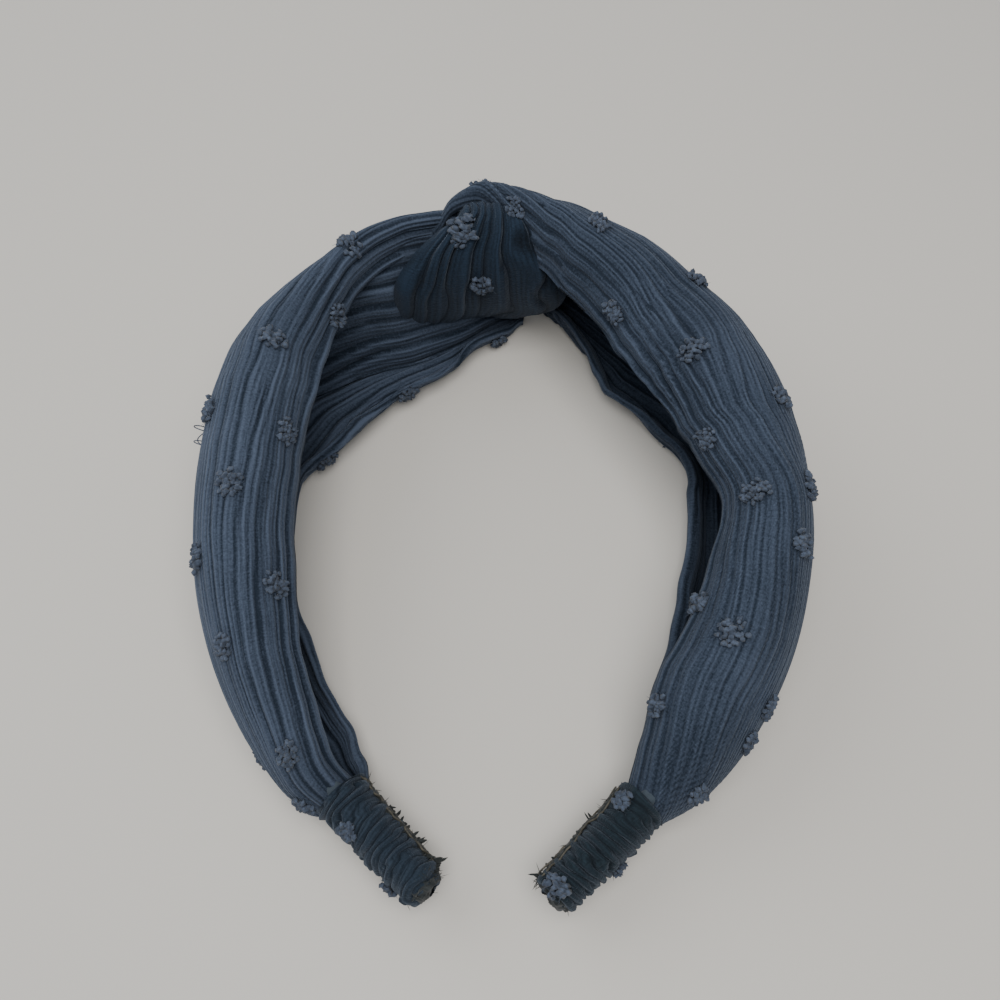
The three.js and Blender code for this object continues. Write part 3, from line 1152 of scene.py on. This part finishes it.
@dataclass
class TipFold(Part):
    """The felted cloth end that closes a tip, worn grey on its edges.

    Its start and length are angles along the band; its half sizes are in millimetres.
    """

    band: BandLine
    side: Side
    shift: float
    seed: int
    start: float = 170.0
    length: float = 2.6
    half_depth: float = 3.7
    half_height: float = 6.0
    piece: bpy.types.Object = field(init=False)

    def build(self) -> None:
        """A dome on the end of the tip, creased by the folded cloth."""
        share = np.linspace(0, 1, 48)[:, None]
        turn = np.linspace(0, TAU, 72, endpoint=False)[None]
        cos, sin = np.cos(turn), np.sin(turn)
        dome = np.clip(1 - (share * 0.99999) ** 5, 0, 1) ** 0.5
        roll = knife_fold(2.2 * share + turn / TAU, 0.5, 0.8)
        angle = self.start + self.length * share**0.8 - 0.9 * roll * ramp(share, 0.3, 0.6)
        middle, _, _ = self.band.at(self.side.value * angle)
        crease = 0.6 * smooth_noise(3 * cos + 5 * share, 3 * sin + 7, self.seed)
        crease = crease + 0.4 * smooth_noise(9 * cos + 9 * share, 9 * sin + 3, self.seed + 1)
        out = (self.shift + (self.half_depth + crease) * dome * cos) * MM
        up = middle[..., 2] + (self.half_height + crease) * MM * dome * sin
        points = self.band.place(self.side.value * angle, out, up)
        name = f"{self.side.word}_folded_tip"
        flip = self.side is Side.LEFT
        self.piece = grid_piece(name, points, True, *even_places(points, 0.03, 0.01), flip=flip)

    def finish(self, wardrobe: Wardrobe) -> None:
        """Dresses the fold and fixes it to its arm."""
        dress(self.piece, wardrobe.worn)
        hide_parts(f"{self.side.word}_tip_fold")
        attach(self.piece, f"{self.side.word}_arm")


@dataclass(frozen=True)
class FrayKind:
    """How the loose ends of a raw edge look: how many, and their sizes in millimetres."""

    count: int
    length: tuple[float, float]
    root: tuple[float, float]
    curl: float


@dataclass
class Frays(Part):
    """Loose thread ends and rags that stand out of a binding's raw edge."""

    name: str
    binding: Binding
    kind: FrayKind
    seed: int
    turn: float
    spread: float
    shares: tuple[float, float]
    piece: bpy.types.Object = field(init=False)

    def build(self) -> None:
        """Tapered threads from points of the binding: each leaves it and bends as it goes."""
        rng = np.random.default_rng(self.seed)
        parts = []
        points, normals = self.binding.points, self.binding.normals
        rows, columns = points.shape[:2]
        for _ in range(self.kind.count):
            row = int(rng.uniform(*self.shares) * (rows - 1))
            turn = self.turn + rng.normal(0, self.spread)
            column = int((turn % TAU) / TAU * columns)
            root = points[row, column]
            away = unit(normals[row, column] + rng.normal(0, 0.3, 3))
            along = unit(points[min(row + 4, rows - 1), column] - points[row - 4, column])
            away = unit(away + along * rng.normal(0.3, 0.5))
            bend = rng.normal(0, self.kind.curl, 3)
            t = np.linspace(0, 1, 6)[:, None]
            length = rng.uniform(*self.kind.length) * MM
            path = root - away * 0.3 * MM + length * (away * t + bend * t**2 * 0.5)
            path[:, 2] = np.maximum(path[:, 2], 0.2 * MM)
            radius = rng.uniform(*self.kind.root) * MM * (1.0 - 0.55 * t[:, 0])
            parts.append(tube(path, radius, 4))
        self.piece = joined(self.name, parts)

    def finish(self, wardrobe: Wardrobe) -> None:
        """Dresses the threads and fixes them to their arm."""
        dress(self.piece, wardrobe.fray)
        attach(self.piece, f"{self.binding.side.word}_arm")


@dataclass
class GlueSeam(Part):
    """The dried bead of glue along the head side of a binding, ragged with fibre."""

    binding: Binding
    seed: int
    low: float = 0.04
    high: float = 0.93
    piece: bpy.types.Object = field(init=False)
    threads: bpy.types.Object = field(init=False)

    def build(self) -> None:
        """A flattened bead that follows the binding's head side, of uneven width and height."""
        share = np.linspace(self.low, self.high, 160)[:, None]
        ring = np.linspace(0, TAU, 14, endpoint=False)[None]
        run = (share - self.low) / (self.high - self.low)
        ends = np.sqrt(np.clip(1 - (2 * run - 1) ** 6, 0, 1))
        rough = smooth_noise(share * 60, ring * 1.5, self.seed)
        width = (0.11 + 0.05 * smooth_noise(share * 24, 0.5, self.seed + 1)) * ends
        height = (0.45 + 0.35 * rough) * MM * ends
        centre_turn = np.pi - 0.25 + 0.22 * smooth_noise(share * 7, 3.5, self.seed + 2)
        turn = centre_turn + width * np.cos(ring)
        base = self.binding.surface(share, turn)
        away = unit(base - self.binding.middle(share))
        points = base + away * (0.85 * MM + height * np.sin(ring))[..., None]
        self.lay_threads(centre_turn, share)
        name = f"{self.binding.side.word}_glue_bead"
        flip = facing_out(points, points.mean(1, keepdims=True)) < 0
        self.piece = grid_piece(name, points, True, *even_places(points, 0.004, 0.03), flip=flip)

    def lay_threads(self, turn: np.ndarray, share: np.ndarray) -> None:
        """Two brown threads caught in the glue, that wander beside the bead.

        Args:
            turn: The bead's turn about the binding, (rows, 1).
            share: Its place along the binding, (rows, 1).
        """
        parts = []
        for i, gap in enumerate((-0.16, 0.13)):
            stray = gap + 0.15 * smooth_noise(share * 16, 2.5 + 3 * i, self.seed + 7)
            base = self.binding.surface(share, turn + stray)[:, 0]
            middle = self.binding.middle(share)[:, 0]
            lift = 1.15 + 0.3 * smooth_noise(share * 17, 5.5 + 3 * i, self.seed + 8)
            path = base + unit(base - middle) * lift * MM
            parts.append(tube(path, np.full(len(path), 0.2 * MM), 5))
        self.threads = joined(f"{self.binding.side.word}_seam_threads", parts)

    def finish(self, wardrobe: Wardrobe) -> None:
        """Dresses the bead and its threads and fixes them to their arm."""
        word = self.binding.side.word
        dress(self.piece, wardrobe.fray)
        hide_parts(f"{word}_glue_seam")
        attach(self.piece, f"{word}_arm")
        dress(self.threads, wardrobe.glue)
        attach(self.threads, f"{word}_arm")


# ---------------------------------------------------------------- tufts


@dataclass
class Cloth:
    """A closed grid of a finished surface, that small things can be set on."""

    points: np.ndarray
    normals: np.ndarray

    def __post_init__(self) -> None:
        """Smooths the normals over a few neighbours, so that folds don't tip what is set on."""
        total = np.zeros_like(self.normals)
        for row in (-3, -1, 1, 3):
            for column in (-6, -3, 0, 3, 6):
                total += np.roll(self.normals, (row, column), (0, 1))
        self.normals = unit(total)

    def read(self, grid: np.ndarray, row: np.ndarray, column: np.ndarray) -> np.ndarray:
        """Values of a grid between its points, weighted by nearness to the four around.

        Args:
            grid: The values, (rows, columns, 3).
            row: Rows to read at, between the grid's own.
            column: Columns to read at; they go on past the join.

        Returns:
            The values there.
        """
        rows, columns = grid.shape[:2]
        row = np.clip(row, 0, rows - 1.001)
        r, c = np.floor(row).astype(int), np.floor(column).astype(int)
        down, over = (row - r)[..., None], (column - c)[..., None]
        left, right = c % columns, (c + 1) % columns
        upper = grid[r, left] * (1 - over) + grid[r, right] * over
        lower = grid[r + 1, left] * (1 - over) + grid[r + 1, right] * over
        return upper * (1 - down) + lower * down

    def lay(self, row: float, column: float, local: np.ndarray) -> np.ndarray:
        """Lays points over the cloth round a place.

        Args:
            row: The place's row, between the grid's rows.
            column: Its column.
            local: Points as (along the columns, along the rows, height), in metres.

        Returns:
            The points in space.
        """
        r, c = np.array([row]), np.array([column])
        here = self.read(self.points, r, c)
        ahead, behind = self.read(self.points, r + 4, c), self.read(self.points, r - 4, c)
        per_row = np.linalg.norm(ahead - behind) / 8
        ahead, behind = self.read(self.points, r, c + 10), self.read(self.points, r, c - 10)
        per_column = np.linalg.norm(ahead - behind) / 20
        rows = row + local[:, 1] / max(per_row, 0.02 * MM)
        columns = column + local[:, 0] / max(per_column, 0.02 * MM)
        spread = self.read(self.points, rows, columns)
        reach = np.linalg.norm(local[:, :2], axis=1)
        away = np.linalg.norm(spread - here, axis=1)
        held_in = np.minimum(1, 1.15 * reach / np.maximum(away, 1e-9))
        held = here + (spread - here) * held_in[:, None]
        return held + self.read(self.normals, rows, columns) * local[:, 2:]


@dataclass
class Tufts(Part):
    """The clip-dot flowers woven into the chiffon: clusters of short chenille loops."""

    name: str
    cloth: Cloth
    places: list[tuple[float, float]]
    seed: int
    radius: float = 3.0
    body: str | None = None
    piece: bpy.types.Object = field(init=False)

    def petal(self, root: np.ndarray, turn: float, rng: np.random.Generator) -> Shape:
        """One chenille loop: a fat short tube that arches over the cloth.

        Args:
            root: Its middle, in the flower's own flat.
            turn: The direction that it runs in, in radians.
            rng: The source of its small differences.

        Returns:
            Points and faces, in the flower's own flat.
        """
        t = np.linspace(0, 1, 5)
        length = rng.uniform(0.6, 1.1) * MM
        run = (t - 0.5) * length
        bend = rng.normal(0, 0.3) * MM * np.sin(np.pi * t)
        path = np.stack(
            [
                root[0] + run * math.cos(turn) - bend * math.sin(turn),
                root[1] + run * math.sin(turn) + bend * math.cos(turn),
                (0.1 + rng.uniform(0.3, 1.2) * np.sin(np.pi * (0.1 + 0.8 * t))) * MM,
            ],
            -1,
        )
        radius = rng.uniform(0.42, 0.62) * MM * (0.55 + 0.45 * np.sin(np.pi * t))
        points, faces = tube(path, radius, 6)
        return points + rng.normal(0, 0.045 * MM, points.shape), faces

    def flower(self, rng: np.random.Generator) -> list[Shape]:
        """Rings of loops round a middle, with a few fuzzy ends, in the flower's own flat.

        Args:
            rng: The source of the flower's size and of its small differences.

        Returns:
            The parts' points and faces.
        """
        parts = []
        size, wide = self.radius * MM * rng.uniform(0.82, 1.06), rng.uniform(0.88, 1.14)
        for count, ring in FLOWER_RINGS:
            around = rng.uniform(0, TAU)
            for i in range(count):
                a = around + TAU * i / count + rng.normal(0, 0.18)
                reach = size * ring * rng.uniform(0.84, 1.14)
                root = np.array([math.cos(a) * reach * wide, math.sin(a) * reach / wide])
                parts.append(self.petal(root, a + rng.normal(0, 0.7), rng))
        for _ in range(30):
            a, reach = rng.uniform(0, TAU), size * rng.uniform(0.3, 1.05)
            t = np.linspace(0, 1, 4)[:, None]
            root = np.array([math.cos(a) * reach * wide, math.sin(a) * reach / wide, 0.5 * MM])
            away = unit(np.append(root[:2] / size, 0.6) + rng.normal(0, 0.4, 3))
            path = root + away * t * rng.uniform(0.5, 1.3) * MM
            parts.append(tube(path, np.full(4, 0.035 * MM), 3))
        return parts

    def build(self) -> None:
        """Lays a flower over the cloth at each place."""
        rng = np.random.default_rng(self.seed)
        parts = []
        for row, column in self.places:
            for points, faces in self.flower(rng):
                laid = self.cloth.lay(row, column, points)
                laid[:, 2] = np.maximum(laid[:, 2], FLOOR_GAP)
                parts.append((laid, faces))
        self.piece = joined(self.name, parts)

    def finish(self, wardrobe: Wardrobe) -> None:
        """Dresses the tufts, and fixes them to their body if they have one."""
        dress(self.piece, wardrobe.tuft)
        if self.body is not None:
            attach(self.piece, self.body)


def drape_spots(drape: Drape, spots: Pairs) -> list[tuple[float, float]]:
    """Rows and columns of a drape's back, from angles along the arm and turns in degrees."""
    curl = drape.gutter.curl
    per_degree = (drape.rows - 1) / (drape.end - drape.start)
    per_turn = (drape.back_columns - 1) / (2 * curl)
    return [((angle - drape.start) * per_degree, (turn + curl) * per_turn) for angle, turn in spots]


def grid_spots(points: np.ndarray, shares: Pairs) -> list[tuple[float, float]]:
    """Rows and columns of a grid, from shares of its rows and columns."""
    rows, columns = points.shape[:2]
    return [(r * (rows - 1), c * columns) for r, c in shares]


@dataclass
class LooseThread(Part):
    """One pulled thread that loops out of the left drape's back, in degrees and millimetres."""

    band: BandLine
    start: float = 86.0
    out: float = 5.6
    up: float = 31.0
    thickness: float = 0.26
    piece: bpy.types.Object = field(init=False)

    def build(self) -> None:
        """A loop and a half outside the drape, as a circle that drifts down the arm."""
        t = np.linspace(0, 1, 40)
        turn = 3.0 * np.pi * t
        angle = -(self.start + 3.2 * t + 1.1 * np.cos(turn))
        out = (self.out + 2.2 * np.sin(turn) ** 2 + 0.5 * t) * MM
        path = self.band.place(angle, out, (self.up - 4 * t + 1.5 * np.sin(turn)) * MM)
        points, faces = tube(path, np.full(len(path), self.thickness / 2 * MM), 5)
        self.piece = make_mesh("left_loose_thread", points, faces)

    def finish(self, wardrobe: Wardrobe) -> None:
        """Dresses the thread and fixes it to the left arm."""
        dress(self.piece, wardrobe.tuft)
        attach(self.piece, "left_arm")


# ---------------------------------------------------------------- lining and band


@dataclass
class Lining(Part):
    """The lining sleeve over the band's strip, seen between the lips of a drape.

    Its widths at the crown and at the tip, and its half depth, are in millimetres.
    """

    band: BandLine
    word: str
    start: float
    end: float
    node: str
    body: str
    crown_width: float = 20.0
    tip_width: float = 9.0
    half_depth: float = 2.1
    piece: bpy.types.Object = field(init=False)

    def build(self) -> None:
        """A flat tube round the strip, with rounded edges and a faint pucker."""
        angle = np.linspace(self.start, self.end, 150)[:, None]
        ring = np.linspace(0, TAU, 48, endpoint=False)[None]
        cos, sin = np.cos(ring), np.sin(ring)
        loss = self.crown_width - self.tip_width
        width = self.crown_width - loss * ramp(np.abs(angle), 80, 169)
        half_height = (width / 2 + 1.2) * MM
        pucker = 0.15 * MM * smooth_noise(np.abs(angle) / 3.0, 2 * cos + 4, 71)
        middle, _, _ = self.band.at(angle)
        out = self.half_depth * MM * np.sign(cos) * np.abs(cos) ** 0.4 + pucker
        up = middle[..., 2] + half_height * np.sign(sin) * np.abs(sin) ** 0.7
        points = self.band.place(angle, out, up)
        flip = facing_out(points, middle) < 0
        name = f"{self.word}_lining"
        self.piece = grid_piece(name, points, True, *even_places(points, 0.05, 0.2), flip=flip)

    def finish(self, wardrobe: Wardrobe) -> None:
        """Dresses the lining and fixes it to its body."""
        dress(self.piece, wardrobe.lining)
        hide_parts(self.node)
        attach(self.piece, self.body)


# ---------------------------------------------------------------- surroundings


def make_floor() -> None:
    """A plain pale floor under the headband."""
    half = 1.2
    corners = np.array([[-half, -half, 0], [half, -half, 0], [half, half, 0], [-half, half, 0]])
    floor = make_mesh("floor", corners, np.array([[0, 1, 2, 3]]))
    pale = Nodes("pale_floor").settle(Base_Color=(0.67, 0.643, 0.597, 1.0), Roughness=0.9)
    floor.data.materials.append(pale)


def set_facing(thing: bpy.types.Object, place: Vector, direction: Vector) -> None:
    """Puts a light or a camera at a place, facing a direction, and links it to the scene."""
    turned = direction.to_track_quat("-Z", "Y").to_matrix().to_4x4()
    thing.matrix_world = Matrix.Translation(place) @ turned
    bpy.context.scene.collection.objects.link(thing)


def add_light(
    name: str, middle: Vector, away: Colour, size: float, watts: float, tint: Colour
) -> None:
    """Adds a square soft light that faces the middle of the headband.

    Args:
        name: The light's name.
        middle: The point that it faces.
        away: How far it lies from there, along each axis.
        size: Its side.
        watts: Its power.
        tint: Its colour.
    """
    data = bpy.data.lights.new(name, "AREA")
    data.size = size
    data.energy = watts
    data.color = tint
    place = middle + Vector(away)
    set_facing(bpy.data.objects.new(name, data), place, middle - place)


def make_light(middle: Vector) -> None:
    """Plain soft studio light: one overhead, a broad one behind the left arm, a pale world."""
    add_light("key", middle, (0.03, -0.12, 0.58), 0.36, 3.0, (1.0, 0.985, 0.96))
    add_light("fill", middle, (-0.62, 0.36, 0.66), 0.9, 4.2, (0.95, 0.98, 1.0))
    world = bpy.data.worlds.new("studio")
    world.use_nodes = True
    background = world.node_tree.nodes["Background"]
    background.inputs["Color"].default_value = (0.92, 0.95, 1.0, 1.0)
    background.inputs["Strength"].default_value = 0.3
    bpy.context.scene.world = world


def make_camera(band: BandLine) -> None:
    """A close camera that looks steeply down at the headband over its tips.

    Args:
        band: The line whose middle it aims at.
    """
    elevation, azimuth = math.radians(67.0), math.radians(1.5)
    distance = 0.253
    aim = Vector((0.0, band.centre_y + 1.5 * MM, 0.0))
    level = Vector((math.sin(azimuth), -math.cos(azimuth), 0.0))
    back = level * math.cos(elevation) + Vector((0, 0, math.sin(elevation)))
    data = bpy.data.cameras.new("camera")
    data.sensor_width = 36.0
    data.lens = 36.7
    data.clip_start = 0.01
    camera = bpy.data.objects.new("camera", data)
    set_facing(camera, aim + back * distance, -back)
    bpy.context.scene.camera = camera


# ---------------------------------------------------------------- the headband


LEFT_GUTTER = Gutter(
    out=(
        (-5, 0.5), (0, 2.2), (10, 3.2), (20, 3.8), (32, 4.4), (50, 5.0), (75, 5.9), (100, 6.6),
        (115, 8.0), (130, 9.2), (142, 8.4), (151.5, 4.6),
    ),
    top=(
        (-5, 15), (-1, 27), (2, 32.5), (8, 38.5), (18, 42), (32, 44.5), (50, 47), (70, 49.5),
        (95, 49), (120, 42), (138, 30), (151.5, 18),
    ),
    bottom=((-5, 1.5), (-1, 0), (125, 0), (138, 1.5), (151.5, 6)),
    top_reach=(
        (-5, 3), (0, 4.5), (12, 4.5), (20, 5.8), (30, 8.4), (45, 15.5), (60, 21.4), (78, 25.2),
        (92, 25), (103, 23.2), (113, 22.6), (123, 21), (134, 18), (140, 15), (151.5, 9),
    ),
    bottom_reach=(
        (-5, 7), (-1, 12.5), (4, 15.8), (10, 19), (18, 24.5), (28, 27), (41, 27.5), (60, 26.8),
        (72, 25.3), (88, 19), (105, 17.6), (125, 20), (138, 20.5), (146, 16), (151.5, 10),
    ),
    wall=((-5, 1.6), (0, 2.4), (20, 2.8), (40, 3.0), (125, 3.0), (151.5, 2.4)),
    puff=((-5, 0), (0, 4), (15, 11), (28, 12), (40, 9), (52, 4.5), (64, 0), (151.5, 0)),
    belly=((-5, 0), (110, 0), (125, 1.2), (138, 3.2), (146, 4.2), (151.5, 0.5)),
)
RIGHT_GUTTER = Gutter(
    out=(
        (-17, 1.0), (-12, 3.4), (-6, 5.4), (0, 7.0), (12, 8.2), (25, 6.9), (42, 6.0), (64, 5.3),
        (84, 6.2), (96, 7.8), (106, 9.4), (118, 10.3), (130, 10.0), (140, 9.0), (151.5, 5.6),
    ),
    top=(
        (-17, 38), (-12, 44), (-6, 47.6), (0, 49), (15, 49.6), (60, 49.6), (95, 49), (120, 42),
        (138, 30), (151.5, 18),
    ),
    bottom=(
        (-17, 32), (-12, 36), (-7, 32), (-3, 21), (1, 9), (6, 2), (11, 0), (120, 0), (138, 1.5),
        (151.5, 6),
    ),
    top_reach=(
        (-17, 3), (-12, 3.5), (-6, 5), (-1, 10.9), (5, 16.1), (10, 20.7), (16, 24.6), (26, 27.5),
        (35, 29.4), (50, 31.8), (74, 30), (90, 26.5), (101, 21.2), (112, 22.8), (128, 24.4),
        (142, 17.7), (151.5, 9),
    ),
    bottom_reach=(
        (-17, 3), (-10, 4), (5, 8), (13, 13), (25, 20.4), (41, 27.4), (60, 24.6), (78, 20.8),
        (93, 22.9), (110, 24.8), (125, 23.5), (140, 17), (151.5, 10),
    ),
    wall=((-17, 1.6), (0, 2.4), (20, 3.0), (125, 3.0), (151.5, 2.4)),
    puff=((-17, 0), (12, 2), (24, 4), (35, 2), (50, 0), (151.5, 0)),
    belly=((-17, 0), (100, 0), (122, 1.0), (138, 1.0), (151.5, 0)),
)
LEFT_PLEATS = Pleats(
    broad_pitch=3.9,
    broad_height=(
        (-5, 0.8), (0, 1.4), (30, 2.0), (60, 1.6), (90, 1.3), (130, 1.7), (142, 2.0), (151.5, 0.9),
    ),
    gathered=((0, 0), (150, 0)),
    fine_pitch=1.5,
    fine_height=0.3,
    lean=0.72,
    beside_lip=0.8,
    outer_share=0.42,
    tone=0.57,
    seed=11,
)
RIGHT_PLEATS = Pleats(
    broad_pitch=3.3,
    broad_height=(
        (-17, 0.7), (-5, 1.4), (10, 2.9), (60, 2.8), (92, 1.9), (108, 0.8), (134, 0.7), (143, 1.5),
        (151.5, 0.9),
    ),
    gathered=((20, 0), (55, 2), (84, 7), (98, 5.5), (122, 0), (150, 0)),
    fine_pitch=1.5,
    fine_height=0.2,
    lean=0.8,
    beside_lip=1.0,
    outer_share=0.36,
    # Lower than the left's: painted shade over the whole right drape, lit from the left.
    tone=0.36,
    seed=23,
)
LEFT_SPOTS = (
    (37, 88), (70, 98), (88, 52), (50, 136), (92, 128), (102, 88), (110, 50), (117, 122),
    (123, 62), (140, 78), (146, 22), (38, -146), (78, -142), (2, -138), (60, -60), (30, -20),
    (100, -40), (125, -60), (15, 30), (50, 10), (85, -10), (135, -20),
)
RIGHT_SPOTS = (
    (-5, 36), (2, 116), (22, 80), (48, 58), (37, 132), (66, 108), (83, 60), (98, 52),
    (91, 132), (101, 112), (107, 64), (122, 100), (127, 32), (132, 28), (142, 36), (136, 132),
    (118, 140), (12, 10), (34, -20), (55, -50), (88, -40), (64, -110), (122, -110), (75, 0),
    (110, -20),
)
KNOT_LEFT = (
    (0, -14), (70, -11), (95, -12), (115, -16), (140, -23.5), (170, -28.5), (215, -30),
    (270, -25), (360, -14),
)
KNOT_RIGHT = (
    (0, 10), (70, 4), (95, 5.5), (130, 11), (165, 15), (190, 16.5), (215, 15.5), (245, 12),
    (290, 10), (360, 10),
)
KNOT_FOLDS = ((0, 0), (0.15, 1), (0.26, 2), (0.43, 3), (0.52, 4), (0.7, 5), (1.0, 6))
KNOT_SPOTS = ((0.2, 0.305), (0.27, 0.335), (0.5, 0.455))
LEFT_BINDING_SPOTS = ((0.3, 0.15), (0.75, 0.97))
RIGHT_BINDING_SPOTS = ((0.88, 0.28), (0.5, 0.96), (0.1, 0.34))


def set_tufts(
    drapes: list[Drape], knot: Knot, bindings: list[Binding], wardrobe: Wardrobe
) -> None:
    """Makes the tufts on the drapes, the knot and the bindings, each laid over its cloth.

    Args:
        drapes: The left and the right drape.
        knot: The knot.
        bindings: The left and the right binding.
        wardrobe: The finishes.
    """
    for drape, spots in zip(drapes, (LEFT_SPOTS, RIGHT_SPOTS)):
        cloth = Cloth(drape.points, drape.normals)
        name = f"{drape.side.word}_drape_tufts"
        tufts = Tufts(name, cloth, drape_spots(drape, spots), 41 + drape.side.value)
        tufts.make(wardrobe)
        bend_to_arm(tufts.piece, drape.band, drape.side)
    cloth = Cloth(knot.points, knot.normals)
    places = grid_spots(knot.points, KNOT_SPOTS)
    Tufts("knot_tufts", cloth, places, 51, 2.8, "crown").make(wardrobe)
    for binding, spots in zip(bindings, (LEFT_BINDING_SPOTS, RIGHT_BINDING_SPOTS)):
        cloth = Cloth(binding.points, binding.normals)
        word = binding.side.word
        places = grid_spots(binding.points, spots)
        seed = 61 + binding.side.value
        Tufts(f"{word}_binding_tufts", cloth, places, seed, 2.5, f"{word}_arm").make(wardrobe)


def finish_tip(binding: Binding, wardrobe: Wardrobe) -> None:
    """Makes what goes with one binding: the tip's fold, the glue seam, the frays and the lining.

    Args:
        binding: The binding, already made.
        wardrobe: The finishes.
    """
    band, side, word = binding.band, binding.side, binding.side.word
    TipFold(band, side, binding.shift, binding.seed + 3).make(wardrobe)
    GlueSeam(binding, binding.seed + 4).make(wardrobe)
    rags = FrayKind(60 if side is Side.LEFT else 14, (0.7, 1.7), (0.35, 0.6), 0.6)
    hairs = FrayKind(46, (0.5, 1.5), (0.07, 0.13), 1.0)
    ends = (
        ("seam_rags", rags, math.pi - 0.05, 0.16, (0.3, 0.97)),
        ("seam_hairs", hairs, math.pi - 0.2, 0.3, (0.04, 0.97)),
        ("tip_rags", hairs, math.pi * 0.8, 1.2, (0.93, 0.98)),
    )
    for i, (name, kind, turn, spread, shares) in enumerate(ends):
        seed = binding.seed + 5 + i
        Frays(f"{word}_{name}", binding, kind, seed, turn, spread, shares).make(wardrobe)
    ends = 26.0 * side.value, 169.0 * side.value
    Lining(band, word, *ends, f"{word}_sleeve", f"{word}_arm").make(wardrobe)


def main() -> None:
    """Builds the headband's sub-assemblies in order, then the floor, the light and the camera."""
    logging.basicConfig(level=logging.INFO, format="%(name)s: %(message)s")
    cad_low, cad_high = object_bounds()
    band = BandLine.from_frame()
    wardrobe = Wardrobe.make()
    drapes = [
        Drape(band, Side.LEFT, LEFT_GUTTER, LEFT_PLEATS, -5.0),
        Drape(band, Side.RIGHT, RIGHT_GUTTER, RIGHT_PLEATS, -17.0),
    ]
    lining = Lining(band, "crown", -25.9, 25.9, "crown_sleeve", "crown")
    knot = Knot(band)
    for part in (*drapes, lining, knot):
        part.make(wardrobe)
    bindings = [Binding(band, Side.LEFT, 14.0, -0.2, 81), Binding(band, Side.RIGHT, 15.0, 0.5, 91)]
    for binding in bindings:
        binding.make(wardrobe)
        finish_tip(binding, wardrobe)
    set_tufts(drapes, knot, bindings, wardrobe)
    LooseThread(band).make(wardrobe)
    for name, slot, finish in (
        ("core_crown", "band_plastic", wardrobe.plastic),
        ("core_left", "band_plastic", wardrobe.plastic),
        ("core_right", "band_plastic", wardrobe.plastic),
        ("knot_stitch", "thread", wardrobe.lining),
    ):
        node = frame["nodes"][name]
        node.data.materials.clear()
        node.data.materials.append(finish)
        log.info("%s keeps its CAD shape, in %s", name, slot)
    make_floor()
    make_light((cad_low + cad_high) / 2)
    make_camera(band)


if __name__ == "__main__":
    main()
